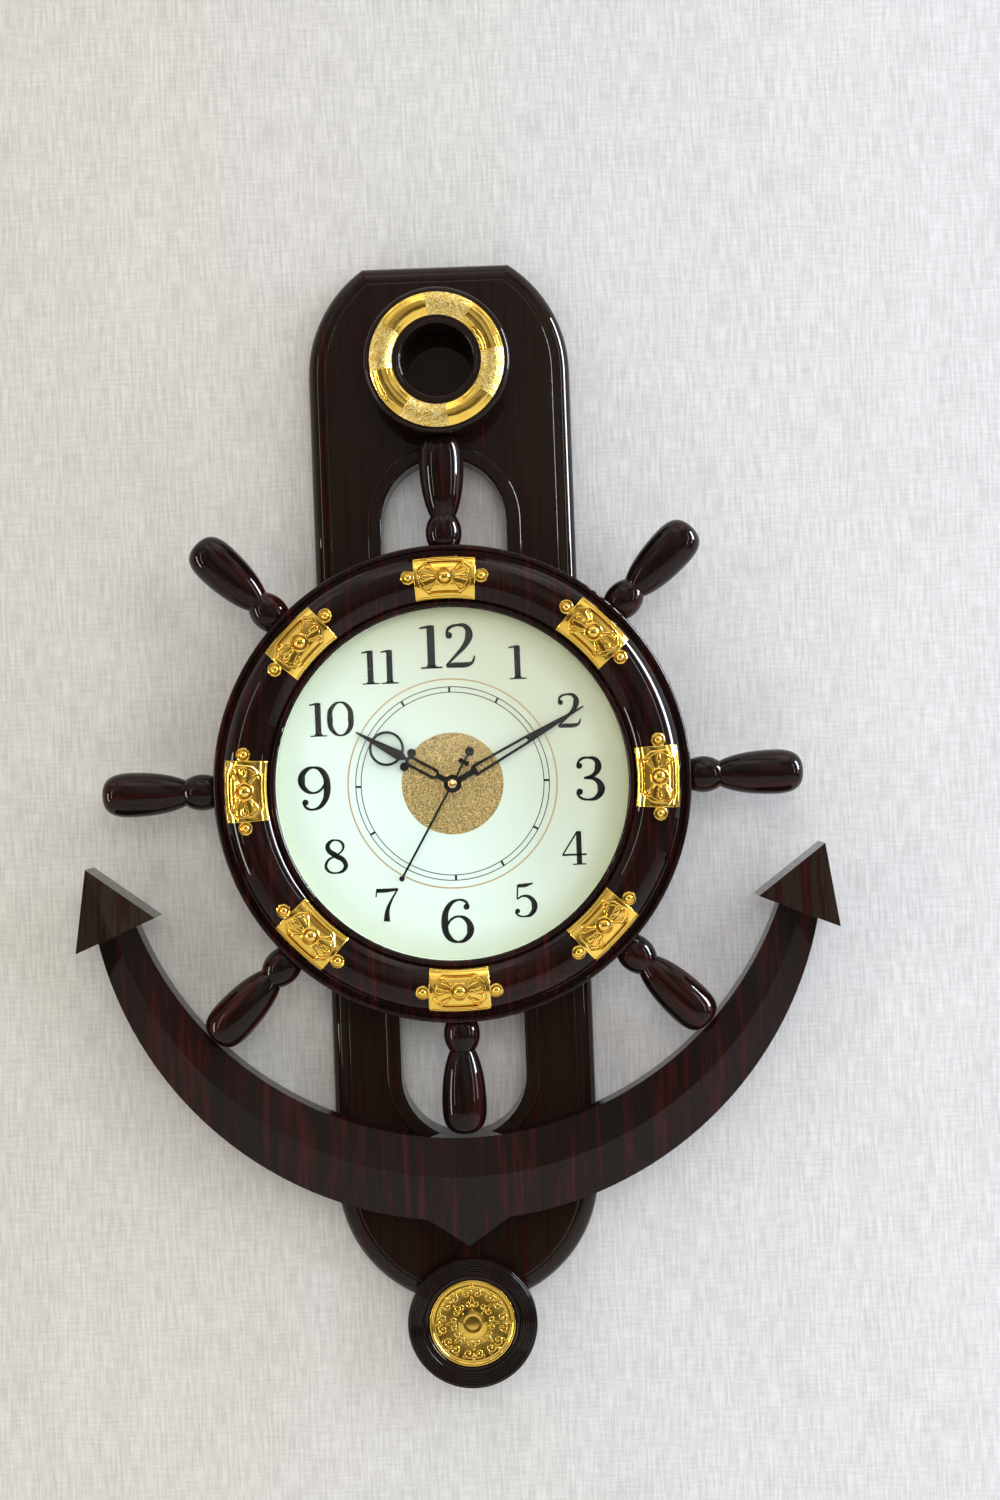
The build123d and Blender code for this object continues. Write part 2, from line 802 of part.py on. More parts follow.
with BuildPart() as plate_frame:
    with BuildSketch(front(board_height)):
        add(plate_ground(0, 0))
        add(plate_ground(plate_frame_width, plate_corner_cut), mode=Mode.SUBTRACT)
        with Locations((-plate_tab_reach, plate_middle), (plate_tab_reach, plate_middle)):
            Circle(plate_dome_radius)
    extrude(amount=rim_crown_height + board_height)
    add(rim_skin(plate_thickness / 2, plate_thickness + plate_frame_relief), mode=Mode.INTERSECT)

with BuildPart() as plate_flower:
    with BuildSketch(front(board_height)):
        with Locations((0, plate_middle)):
            Circle(plate_boss_ring_radius)
            for petal_turn in (-plate_petal_turn, 0, plate_petal_turn):
                for mirror_turn in (0, 180):
                    with PolarLocations(plate_petal_place, 1, start_angle=petal_turn + mirror_turn):
                        SlotOverall(plate_petal_length, plate_petal_width)
    extrude(amount=rim_crown_height + board_height)
    add(rim_skin(plate_thickness / 2, plate_thickness + plate_petal_relief), mode=Mode.INTERSECT)

with BuildPart() as plate_boss:
    with BuildSketch(front(board_height)):
        with Locations((0, plate_middle)):
            Circle(plate_boss_radius)
    extrude(amount=rim_crown_height + board_height)
    add(rim_skin(plate_thickness / 2, plate_thickness + plate_boss_relief), mode=Mode.INTERSECT)

with BuildPart() as plate_whole:
    add(plate_blank.part)
    add(plate_frame.part)
    add(plate_flower.part)
    add(plate_boss.part)

for number in range(handle_count):
    with BuildPart() as ornament_plate:
        add(plate_whole.part.rotate(wheel_axis, -number * 360 / handle_count))
    save(ornament_plate.part, f"ornament_plate_{number + 1}")

# Dial stack
with BuildPart() as dial_board:
    with BuildSketch(front(inner_wall_end - dial_board_thickness)):
        Circle(dial_board_radius)
        Circle(bushing_radius + seat_gap, mode=Mode.SUBTRACT)
        with PolarLocations(board_screw_place, dial_screw_count, start_angle=dial_screw_turn):
            Circle(dial_screw_radius + running_gap, mode=Mode.SUBTRACT)
    extrude(amount=dial_board_thickness)
save(dial_board.part, "dial_board")

with BuildPart() as dial_sheet:
    with BuildSketch(front(inner_wall_end)):
        Circle(stack_radius)
        Circle(bushing_radius + seat_gap, mode=Mode.SUBTRACT)
    extrude(amount=dial_sheet_thickness)
save(dial_sheet.part, "dial_sheet")

with BuildPart() as dial_spacer:
    with BuildSketch(front(sheet_front)):
        Circle(stack_radius)
        Circle(stack_radius - spacer_width, mode=Mode.SUBTRACT)
    extrude(amount=glass_rear - sheet_front)
save(dial_spacer.part, "dial_spacer")

with BuildPart() as glass:
    with BuildSketch(front(glass_rear)):
        Circle(stack_radius)
    extrude(amount=glass_thickness)
save(glass.part, "glass")

dial_screw_seat = inner_wall_end - dial_board_thickness
with BuildPart() as dial_screws:
    with BuildSketch(front(dial_screw_seat - dial_screw_head_height)):
        with PolarLocations(board_screw_place, dial_screw_count, start_angle=dial_screw_turn):
            Circle(dial_screw_head_radius)
    extrude(amount=dial_screw_head_height)
    with BuildSketch(front(dial_screw_seat)):
        with PolarLocations(board_screw_place, dial_screw_count, start_angle=dial_screw_turn):
            Circle(dial_screw_radius)
    extrude(amount=dial_screw_length)
save(dial_screws.part, "dial_screws")


# Anchor
def circle_solid(low, high):
    """A solid between two circles parallel to the wall, each given as centre rise, radius and height."""
    with BuildPart() as solid:
        with BuildSketch(front(low[2], 0, low[0])):
            Circle(low[1])
        with BuildSketch(front(high[2], 0, high[0])):
            Circle(high[1])
        loft(ruled=True)
    return solid.part


fluke_axis = (math.cos(math.radians(fluke_tilt)), math.sin(math.radians(fluke_tilt)))
fluke_apex = (fluke_middle[0] + fluke_length * fluke_axis[0], fluke_middle[1] + fluke_length * fluke_axis[1])
fluke_inner_tip = (
    fluke_middle[0] - fluke_width / 2 * fluke_axis[1],
    fluke_middle[1] + fluke_width / 2 * fluke_axis[0],
)
fluke_outer_tip = (
    fluke_middle[0] + fluke_width / 2 * fluke_axis[1],
    fluke_middle[1] - fluke_width / 2 * fluke_axis[0],
)
fluke_angle = fluke_tilt - 90
crown_slope = math.atan2(crown_corner_rise - crown_tip_rise, crown_half_width)


def crescent_plan(inset, base):
    """A block in the anchor's outline, with every side moved inwards by an inset, from a base height."""
    crown_shift = inset / math.cos(crown_slope)
    with BuildPart() as block:
        with BuildSketch(front(base)):
            with Locations((0, anchor_outer_centre)):
                Circle(anchor_outer_radius - inset)
            Polygon(
                (-crown_half_width, crown_corner_rise + crown_shift),
                (0, crown_tip_rise + crown_shift),
                (crown_half_width, crown_corner_rise + crown_shift),
                (0, ridge_low),
                align=None,
            )
            with Locations((0, anchor_inner_centre)):
                Circle(anchor_inner_radius + inset, mode=Mode.SUBTRACT)
            for turn in (-1, 1):
                end = (
                    turn * (fluke_middle[0] - inset * fluke_axis[0]),
                    fluke_middle[1] - inset * fluke_axis[1],
                )
                with Locations(Location((end[0], end[1], 0), (0, 0, turn * fluke_angle))):
                    Rectangle(2 * anchor_inner_radius, anchor_inner_radius, align=(Align.CENTER, Align.MIN),
                              mode=Mode.SUBTRACT)
            with Locations((0, fluke_inner_tip[1])):
                Rectangle(2 * anchor_outer_radius, 2 * anchor_outer_radius, align=(Align.CENTER, Align.MIN),
                          mode=Mode.SUBTRACT)
        extrude(amount=2 * anchor_ridge_height)
    return block.part


def crescent(base):
    """The anchor's body under its two sloping faces, from a base height."""
    inner = (anchor_inner_centre, anchor_inner_radius, anchor_inner_height)
    ridge = (anchor_ridge_centre, anchor_ridge_radius, anchor_ridge_height)
    outer = (anchor_outer_centre, anchor_outer_radius, anchor_outer_height)
    beyond_inner = tuple(2 * far - near for near, far in zip(inner, ridge))
    beyond_outer = tuple(2 * far - near for near, far in zip(outer, ridge))
    with BuildPart() as crown:
        with BuildSketch(front(base)):
            Polygon(
                (-crown_half_width, crown_corner_rise),
                (0, crown_tip_rise),
                (crown_half_width, crown_corner_rise),
                (0, ridge_low),
                align=None,
            )
        extrude(amount=anchor_ridge_height - base)
        roof = Plane(
            origin=(0, hanger_recess - anchor_ridge_height, axis_rise + ridge_low),
            x_dir=(1, 0, 0),
            z_dir=(0, outer_low - ridge_low, anchor_outer_height - anchor_ridge_height),
        )
        split(bisect_by=roof, keep=Keep.BOTTOM)
    with BuildPart() as body:
        with BuildSketch(front(base)):
            with Locations((0, anchor_outer_centre)):
                Circle(anchor_outer_radius)
        extrude(amount=anchor_outer_height - base)
        add(circle_solid(outer, beyond_outer))
        add(crown.part)
        with BuildSketch(front(base)):
            with Locations((0, anchor_inner_centre)):
                Circle(anchor_inner_radius)
        extrude(amount=2 * anchor_ridge_height, mode=Mode.SUBTRACT)
        add(circle_solid(inner, beyond_inner), mode=Mode.SUBTRACT)
        with BuildSketch(front(base)):
            for turn in (-1, 1):
                with Locations(Location((turn * fluke_middle[0], fluke_middle[1], 0), (0, 0, turn * fluke_angle))):
                    Rectangle(2 * anchor_inner_radius, anchor_inner_radius, align=(Align.CENTER, Align.MIN))
            with Locations((0, fluke_inner_tip[1])):
                Rectangle(2 * anchor_outer_radius, 2 * anchor_outer_radius, align=(Align.CENTER, Align.MIN))
        extrude(amount=2 * anchor_ridge_height, mode=Mode.SUBTRACT)
    return body.part


def fluke_base(turn):
    """The plane of a fluke's base, facing its point, at the middle height of the tongue."""
    return Plane(
        origin=(turn * fluke_middle[0], hanger_recess - tongue_height, axis_rise + fluke_middle[1]),
        x_dir=(turn * fluke_axis[1], 0, -fluke_axis[0]),
        z_dir=(turn * fluke_axis[0], 0, fluke_axis[1]),
    )


# The hollow is the body sunk by the wall's thickness, inside an outline that is smaller all round
anchor_body = crescent(board_height)
with BuildPart() as anchor_hollow:
    add(anchor_body.moved(Location((0, anchor_wall, 0))))
    add(crescent_plan(anchor_wall, board_height - overrun), mode=Mode.INTERSECT)
    with BuildSketch(front(board_height - overrun)):
        with Locations(*anchor_screws):
            Circle(boss_radius)
    extrude(amount=anchor_ridge_height, mode=Mode.SUBTRACT)

with BuildPart() as anchor_arms:
    add(anchor_body)
    add(anchor_hollow.part, mode=Mode.SUBTRACT)
    add(bead_room.part, mode=Mode.SUBTRACT)
    with BuildSketch(front(board_height - overrun)):
        with Locations(*anchor_screws):
            Circle(screw_radius + running_gap)
    extrude(amount=overrun + screw_length, mode=Mode.SUBTRACT)
    with BuildSketch(front(board_height - overrun)):
        with Locations((0, crown_tip_rise)):
            Rectangle(2 * crown_notch_half_width, 2 * (crown_corner_rise - crown_tip_rise))
    extrude(amount=overrun + crown_notch_top - board_height, mode=Mode.SUBTRACT)
    for turn in (-1, 1):
        with BuildSketch(fluke_base(turn).offset(-anchor_wall)):
            Rectangle(tongue_width, tongue_depth)
        extrude(amount=anchor_wall + tongue_length)
save(anchor_arms.part, "anchor_arms")


def fluke_roof(turn, tip, drop):
    """The plane of one sloping face of a fluke, lowered by a drop."""
    points = []
    for place, height in ((fluke_apex, fluke_edge_height), (tip, fluke_edge_height),
                          (fluke_middle, fluke_ridge_height)):
        points.append(Vector(turn * place[0], hanger_recess - height + drop, axis_rise + place[1]))
    normal = (points[1] - points[0]).cross(points[2] - points[0])
    if normal.Y > 0:
        normal = -normal
    return Plane(origin=points[0], z_dir=normal)


for turn, name in ((-1, "fluke_left"), (1, "fluke_right")):
    solids = []
    for inset, base in ((0, board_height), (fluke_wall, board_height - overrun)):
        with BuildPart() as fluke_body:
            with BuildSketch(front(base)) as fluke_sketch:
                Polygon(
                    (turn * fluke_apex[0], fluke_apex[1]),
                    (turn * fluke_inner_tip[0], fluke_inner_tip[1]),
                    (turn * fluke_outer_tip[0], fluke_outer_tip[1]),
                    align=None,
                )
                if inset > 0:
                    offset(amount=-inset, kind=Kind.INTERSECTION, mode=Mode.REPLACE)
            extrude(amount=fluke_ridge_height + inset - base)
            for tip in (fluke_inner_tip, fluke_outer_tip):
                split(bisect_by=fluke_roof(turn, tip, inset), keep=Keep.BOTTOM)
        solids.append(fluke_body.part)
    with BuildPart() as fluke:
        add(solids[0])
        add(solids[1], mode=Mode.SUBTRACT)
        with BuildSketch(fluke_base(turn).offset(-overrun)):
            Rectangle(tongue_width + 2 * seat_gap, tongue_depth + 2 * seat_gap)
        extrude(amount=overrun + tongue_length, mode=Mode.SUBTRACT)
    save(fluke.part, name)

# Gear centres, as (across, up) from the axis of the hands
third_distance = third_module * (third_teeth + seconds_pinion_teeth) / 2
motion_distance = motion_module * (motion_teeth + cannon_teeth) / 2
knob_distance = motion_module * (motion_teeth + knob_teeth) / 2
step_distance = seconds_module * (seconds_teeth + step_pinion_teeth) / 2
rotor_distance = step_module * (step_teeth + rotor_pinion_teeth) / 2
centre_module = 2 * third_distance / (centre_teeth + third_pinion_teeth)
hour_module = 2 * motion_distance / (hour_teeth + motion_pinion_teeth)


def reach(start, distance, angle):
    turn = math.radians(angle)
    return (start[0] + distance * math.cos(turn), start[1] + distance * math.sin(turn))


third_place = reach((0, 0), third_distance, third_angle)
motion_place = reach((0, 0), motion_distance, motion_angle)
knob_place = reach(motion_place, knob_distance, knob_angle)
step_place = reach((0, 0), step_distance, step_angle)
rotor_place = reach(step_place, rotor_distance, rotor_angle)


def toothed(teeth, module, angle, is_pinion, has_gap):
    """A toothed outline whose tooth, or gap between two teeth, points along an angle."""
    pitch_angle = 2 * math.pi / teeth
    tip_radius = module * (teeth / 2 + addendum_share)
    root_radius = module * (teeth / 2 - dedendum_share)
    tip_share = pinion_tip_share if is_pinion else wheel_tip_share
    root_share = pinion_root_share if is_pinion else wheel_root_share
    start = math.radians(angle) + (pitch_angle / 2 if has_gap else 0)
    corners = []
    for number in range(teeth):
        for share, radius in ((-root_share, root_radius), (-tip_share, tip_radius),
                              (tip_share, tip_radius), (root_share, root_radius)):
            turn = start + (number + share) * pitch_angle
            corners.append((radius * math.cos(turn), radius * math.sin(turn)))
    with BuildSketch() as outline:
        Polygon(*corners, align=None)
    return outline.sketch


def disc(radius, low, high, place=(0, 0), mode=Mode.ADD):
    """A round boss or hole between two heights, in the part that is being built."""
    with BuildSketch(front(low, *place)) as outline:
        Circle(radius)
    extrude(outline.sketch, amount=high - low, mode=mode)


def gear(outline, low, high, place=(0, 0)):
    """A toothed disc between two heights, in the part that is being built."""
    with BuildSketch(front(low, *place)) as section:
        add(outline)
    extrude(section.sketch, amount=high - low)


unit_half = unit_width / 2 - unit_wall
bay_width = 2 * (cell_radius + bay_gap)
bay_middle = -unit_half + bay_width / 2
bay_edge = -unit_half + bay_width
post_places = []
for turn_x in (-1, 1):
    for rise in (post_rise, post_drop):
        post_places.append((turn_x * post_reach, rise))
pivot_hole = arbor_radius + running_gap
pivot_end = unit_rear + unit_wall - pivot_depth
front_pivot_end = unit_front_inner + pivot_depth
train_plate_front = train_plate_rear + train_plate_thickness

# Clock movement, from its case to its back cover
with BuildPart() as movement_case:
    with BuildSketch(front(cover_front)):
        RectangleRounded(unit_width, unit_width, unit_corner)
    extrude(amount=movement_height - cover_front)
    with BuildSketch(front(cover_front)):
        RectangleRounded(2 * unit_half, 2 * unit_half, unit_corner - unit_wall)
    extrude(amount=unit_front_inner - cover_front, mode=Mode.SUBTRACT)
    with BuildSketch(front(cover_front)):
        with Locations((0, bay_edge + bay_wall / 2)):
            Rectangle(2 * unit_half + unit_wall, bay_wall)
        with Locations(*post_places):
            Circle(post_radius)
    extrude(amount=unit_front_inner - cover_front)
    with BuildSketch(front(cover_front)):
        with Locations(*post_places):
            Circle(post_radius)
    extrude(amount=train_plate_front - cover_front, mode=Mode.SUBTRACT)
    disc(bushing_radius, movement_height, movement_height + bushing_length)
    disc(motion_post_radius, motion_layer - plate_gap, unit_front_inner, motion_place)
    disc(hour_tube_radius + running_gap, unit_front_inner - overrun,
         movement_height + bushing_length + overrun, mode=Mode.SUBTRACT)
    for place in (third_place, knob_place):
        disc(pivot_hole, unit_front_inner - overrun, front_pivot_end, place, Mode.SUBTRACT)
save(movement_case.part, "movement_case")

with BuildPart() as movement_cover:
    with BuildSketch(front(unit_rear)):
        RectangleRounded(unit_width, unit_width, unit_corner)
        with Locations((0, bay_middle)):
            Rectangle(2 * unit_half, bay_width, mode=Mode.SUBTRACT)
    extrude(amount=unit_wall)
    for place in (third_place, step_place, rotor_place):
        disc(pivot_hole, pivot_end - running_gap, cover_front + overrun, place, Mode.SUBTRACT)
    disc(seconds_arbor_radius + running_gap, pivot_end - running_gap, cover_front + overrun,
         mode=Mode.SUBTRACT)
    disc(knob_stem_radius + running_gap, unit_rear - overrun, cover_front + overrun, knob_place,
         Mode.SUBTRACT)
save(movement_cover.part, "movement_cover")

with BuildPart() as train_plate:
    with BuildSketch(front(train_plate_rear)):
        with Locations((0, (train_plate_top + train_plate_bottom) / 2)):
            Rectangle(2 * train_plate_half_width, train_plate_top - train_plate_bottom)
    extrude(amount=train_plate_thickness)
    for place in (step_place, rotor_place):
        disc(pivot_hole, train_plate_rear - overrun, train_plate_front + overrun, place, Mode.SUBTRACT)
    disc(seconds_arbor_radius + running_gap, train_plate_rear - overrun, train_plate_front + overrun,
         mode=Mode.SUBTRACT)
    disc(arbor_radius + free_gap, train_plate_rear - overrun, train_plate_front + overrun, third_place,
         Mode.SUBTRACT)
    disc(knob_stem_radius + free_gap, train_plate_rear - overrun, train_plate_front + overrun, knob_place,
         Mode.SUBTRACT)
save(train_plate.part, "train_plate")

with BuildPart() as mounting_nut:
    with BuildSketch(front(sheet_front)):
        RegularPolygon(nut_radius, nut_sides)
        Circle(bushing_radius + running_gap, mode=Mode.SUBTRACT)
    extrude(amount=nut_thickness)
save(mounting_nut.part, "mounting_nut")

with BuildPart() as seconds_wheel:
    disc(seconds_arbor_radius, pivot_end, second_hand_height + hand_thickness)
    gear(toothed(seconds_teeth, seconds_module, step_angle, False, False), seconds_layer,
         seconds_layer + wheel_thickness)
    gear(toothed(seconds_pinion_teeth, third_module, third_angle, True, False), third_layer,
         third_layer + wheel_thickness)
save(seconds_wheel.part, "seconds_wheel")

with BuildPart() as step_wheel:
    disc(arbor_radius, pivot_end, train_plate_front, step_place)
    gear(toothed(step_pinion_teeth, seconds_module, step_angle + 180, True, True), seconds_layer,
         seconds_layer + wheel_thickness, step_place)
    gear(toothed(step_teeth, step_module, rotor_angle, False, False), step_layer,
         step_layer + wheel_thickness, step_place)
save(step_wheel.part, "step_wheel")

with BuildPart() as rotor:
    disc(arbor_radius, pivot_end, train_plate_front, rotor_place)
    gear(toothed(rotor_pinion_teeth, step_module, rotor_angle + 180, True, True), step_layer,
         step_layer + wheel_thickness, rotor_place)
    disc(magnet_radius, train_plate_rear - plate_gap - magnet_thickness, train_plate_rear - plate_gap,
         rotor_place)
save(rotor.part, "rotor")

with BuildPart() as third_wheel:
    disc(arbor_radius, pivot_end, front_pivot_end - running_gap, third_place)
    gear(toothed(third_teeth, third_module, third_angle + 180, False, True), third_layer,
         third_layer + wheel_thickness, third_place)
    gear(toothed(third_pinion_teeth, centre_module, third_angle + 180, True, True), centre_layer,
         centre_layer + wheel_thickness, third_place)
save(third_wheel.part, "third_wheel")

with BuildPart() as centre_wheel:
    gear(toothed(centre_teeth, centre_module, third_angle, False, False), centre_layer,
         centre_layer + wheel_thickness)
    disc(minute_tube_radius + running_gap, centre_layer - overrun, centre_layer + overrun, mode=Mode.SUBTRACT)
save(centre_wheel.part, "centre_wheel")

clutch_high = centre_layer - plate_gap / 2
cannon_low = centre_layer + wheel_thickness + plate_gap
cannon_high = motion_layer + wheel_thickness + plate_gap / 2
with BuildPart() as minute_shaft:
    disc(minute_tube_radius, clutch_high - clutch_thickness, minute_hand_height + hand_thickness)
    disc(clutch_radius, clutch_high - clutch_thickness, clutch_high)
    gear(toothed(cannon_teeth, motion_module, motion_angle, True, False), cannon_low, cannon_high)
    disc(seconds_arbor_radius + running_gap, third_layer, second_hand_height, mode=Mode.SUBTRACT)
save(minute_shaft.part, "minute_shaft")

with BuildPart() as motion_wheel:
    gear(toothed(motion_teeth, motion_module, motion_angle + 180, False, True), motion_layer,
         motion_layer + wheel_thickness, motion_place)
    gear(toothed(motion_pinion_teeth, hour_module, motion_angle + 180, True, True),
         motion_layer + wheel_thickness, unit_front_inner - plate_gap, motion_place)
    disc(motion_post_radius + running_gap, motion_layer - overrun, unit_front_inner, motion_place,
         Mode.SUBTRACT)
save(motion_wheel.part, "motion_wheel")

with BuildPart() as hour_wheel:
    gear(toothed(hour_teeth, hour_module, motion_angle, False, False), hour_layer,
         hour_layer + wheel_thickness)
    disc(hour_tube_radius, cannon_high + plate_gap, hour_hand_height + hand_thickness)
    disc(minute_tube_radius + running_gap, cannon_high, minute_hand_height, mode=Mode.SUBTRACT)
save(hour_wheel.part, "hour_wheel")

knob_front = unit_rear - plate_gap
knob_mesh_angle = knob_angle + 180
motion_tooth_angle = 360 / motion_teeth
knob_phase = (knob_angle - motion_angle - 180) / motion_tooth_angle - 1 / 2
knob_phase_angle = (knob_phase - round(knob_phase)) * motion_tooth_angle * motion_teeth / knob_teeth
with BuildPart() as setting_knob:
    disc(knob_stem_radius, knob_front - knob_thickness, motion_layer + wheel_thickness, knob_place)
    disc(arbor_radius, motion_layer, front_pivot_end - running_gap, knob_place)
    gear(toothed(knob_teeth, motion_module, knob_mesh_angle + knob_phase_angle, True, True), motion_layer,
         motion_layer + wheel_thickness, knob_place)
    disc(knob_radius, knob_front - knob_thickness, knob_front, knob_place)
    with BuildSketch(front(knob_front - knob_thickness, *knob_place)):
        with PolarLocations(knob_radius, knob_grip_count):
            Circle(knob_grip_radius)
    extrude(amount=knob_thickness, mode=Mode.SUBTRACT)
save(setting_knob.part, "setting_knob")

with BuildPart() as stator:
    with BuildSketch(front(stator_rear)):
        with Locations((rotor_place[0], rotor_place[1])):
            Rectangle(2 * stator_half_width, 2 * stator_band_half_height)
        for turn in (-1, 1):
            leg_place = rotor_place[0] + turn * (stator_half_width - stator_leg_width / 2)
            with Locations((leg_place, rotor_place[1])):
                Rectangle(stator_leg_width, core_rise + core_half_height - rotor_place[1],
                          align=(Align.CENTER, Align.MIN))
        with Locations((rotor_place[0], core_rise)):
            Rectangle(2 * stator_half_width, 2 * core_half_height)
        with Locations(rotor_place):
            Circle(magnet_radius + stator_gap, mode=Mode.SUBTRACT)
    extrude(amount=stator_thickness)
save(stator.part, "stator")

coil_middle = stator_rear + stator_thickness / 2
with BuildPart() as motor_coil:
    coil_plane = Plane(
        origin=(rotor_place[0] - coil_half_length, hanger_recess - coil_middle, axis_rise + core_rise),
        x_dir=(0, 0, 1),
        z_dir=(1, 0, 0),
    )
    with BuildSketch(coil_plane):
        RectangleRounded(2 * coil_half_height, 2 * coil_half_depth, coil_half_depth / 2)
    extrude(amount=2 * coil_half_length)
    for start in (-coil_flange, 2 * coil_half_length):
        with BuildSketch(coil_plane.offset(start)):
            Rectangle(2 * (coil_half_height + coil_flange / 2), 2 * (coil_half_depth + coil_flange))
        extrude(amount=coil_flange)
    with BuildSketch(coil_plane.offset(-overrun)):
        Rectangle(2 * (core_half_height + seat_gap), stator_thickness + 2 * seat_gap)
    extrude(amount=2 * (coil_half_length + overrun), mode=Mode.SUBTRACT)
save(motor_coil.part, "motor_coil")

with BuildPart() as circuit_board:
    with BuildSketch(front(train_plate_rear - circuit_thickness, *circuit_place)):
        Rectangle(circuit_width, circuit_breadth)
    extrude(amount=circuit_thickness)
save(circuit_board.part, "circuit_board")

# Pendulum drive, in the hollow at the foot of the board
drive_rear = drive_front - unit_depth
drive_cover_front = drive_rear + unit_wall
drive_inner = drive_front - unit_wall
drive_cell_height = drive_inner - cell_gap - cell_radius
with BuildPart() as drive_case:
    with BuildSketch(front(drive_cover_front, 0, drive_centre_rise)):
        RectangleRounded(unit_width, unit_width, unit_corner)
    extrude(amount=drive_front - drive_cover_front)
    with BuildSketch(front(drive_cover_front, 0, drive_centre_rise)):
        RectangleRounded(2 * unit_half, 2 * unit_half, unit_corner - unit_wall)
    extrude(amount=drive_inner - drive_cover_front, mode=Mode.SUBTRACT)
    with BuildSketch(front(drive_cover_front, 0, drive_centre_rise)):
        with Locations((bay_edge + bay_wall / 2, 0)):
            Rectangle(bay_wall, 2 * unit_half + unit_wall)
    extrude(amount=drive_inner - drive_cover_front)
    disc(swing_arbor_radius + running_gap, drive_inner - overrun, drive_front + overrun, (0, swing_rise),
         Mode.SUBTRACT)
save(drive_case.part, "drive_case")

swing_pivot_end = drive_cover_front - pivot_depth
with BuildPart() as drive_cover:
    with BuildSketch(front(drive_rear, 0, drive_centre_rise)):
        RectangleRounded(unit_width, unit_width, unit_corner)
        with Locations((bay_middle, 0)):
            Rectangle(bay_width, 2 * unit_half, mode=Mode.SUBTRACT)
    extrude(amount=unit_wall)
    disc(swing_arbor_radius + running_gap, swing_pivot_end - running_gap, drive_cover_front + overrun,
         (0, swing_rise), Mode.SUBTRACT)
save(drive_cover.part, "drive_cover")

magnet_rise = swing_rise - lever_length
drive_coil_high = drive_cover_front + drive_coil_length
with BuildPart() as drive_coil:
    disc(drive_coil_radius, drive_cover_front, drive_coil_high, (0, magnet_rise))
    disc(drive_coil_core_radius, drive_cover_front, drive_coil_high + overrun, (0, magnet_rise),
         Mode.SUBTRACT)
save(drive_coil.part, "drive_coil")

swing_magnet_low = drive_coil_high + swing_magnet_gap
lever_low = swing_magnet_low + swing_magnet_thickness
with BuildPart() as swing_magnet:
    disc(swing_magnet_radius, swing_magnet_low, lever_low, (0, magnet_rise))
save(swing_magnet.part, "swing_magnet")

with BuildPart() as swing_lever:
    with BuildSketch(front(lever_low)):
        with Locations((0, swing_rise), (0, magnet_rise)):
            Circle(swing_magnet_radius)
        with Locations((0, magnet_rise)):
            Rectangle(lever_width, lever_length, align=(Align.CENTER, Align.MIN))
        with Locations((0, swing_rise)):
            Circle(swing_arbor_radius, mode=Mode.SUBTRACT)
    extrude(amount=lever_thickness)
save(swing_lever.part, "swing_lever")

with BuildPart() as swing_arbor:
    disc(swing_arbor_radius, swing_pivot_end, swing_arbor_front, (0, swing_rise))
save(swing_arbor.part, "swing_arbor")

rod_front = rod_height + rod_thickness
with BuildPart() as pendulum_rod:
    with BuildSketch(front(rod_height)):
        with Locations((0, swing_rise)):
            Circle(rod_eye_radius)
        with Locations((0, bob_rise - rod_width / 2)):
            Rectangle(rod_width, swing_rise - bob_rise + rod_width / 2, align=(Align.CENTER, Align.MIN))
        with Locations((0, swing_rise)):
            Circle(swing_arbor_radius, mode=Mode.SUBTRACT)
    extrude(amount=rod_thickness)
save(pendulum_rod.part, "pendulum_rod")

bob_floor = rod_front + bob_wall
bob_seat_edge = bob_floor + medallion_thickness
bob_front = bob_seat_edge + bob_slope_drop
groove_pitch = (bob_radius - bob_edge - bob_slope_outer) / bob_groove_count
with BuildPart() as pendulum_bob:
    with BuildSketch(side(bob_rise)):
        with BuildLine():
            Polyline((0, bob_floor), (bob_slope_inner, bob_floor), (bob_slope_inner, bob_seat_edge),
                     (bob_slope_outer, bob_front))
            for number in range(bob_groove_count):
                groove_start = bob_slope_outer + number * groove_pitch
                ThreePointArc(
                    (groove_start, bob_front),
                    (groove_start + groove_pitch / 2, bob_front - bob_groove_depth),
                    (groove_start + groove_pitch, bob_front),
                )
            RadiusArc((bob_radius - bob_edge, bob_front), (bob_radius, bob_front - bob_edge), bob_edge)
            Polyline(
                (bob_radius, bob_front - bob_edge),
                (bob_radius, bob_rear),
                (bob_radius - bob_wall, bob_rear),
                (bob_radius - bob_wall, rod_front),
                (0, rod_front),
                (0, bob_floor),
            )
        make_face()
    revolve(axis=turned_axis(0, bob_rise))
    with BuildSketch(front(bob_rear - overrun)):
        with Locations((0, bob_rise)):
            Rectangle(rod_width, bob_radius + overrun, align=(Align.CENTER, Align.MIN))
    extrude(amount=rod_front - bob_rear + overrun, mode=Mode.SUBTRACT)
save(pendulum_bob.part, "pendulum_bob")

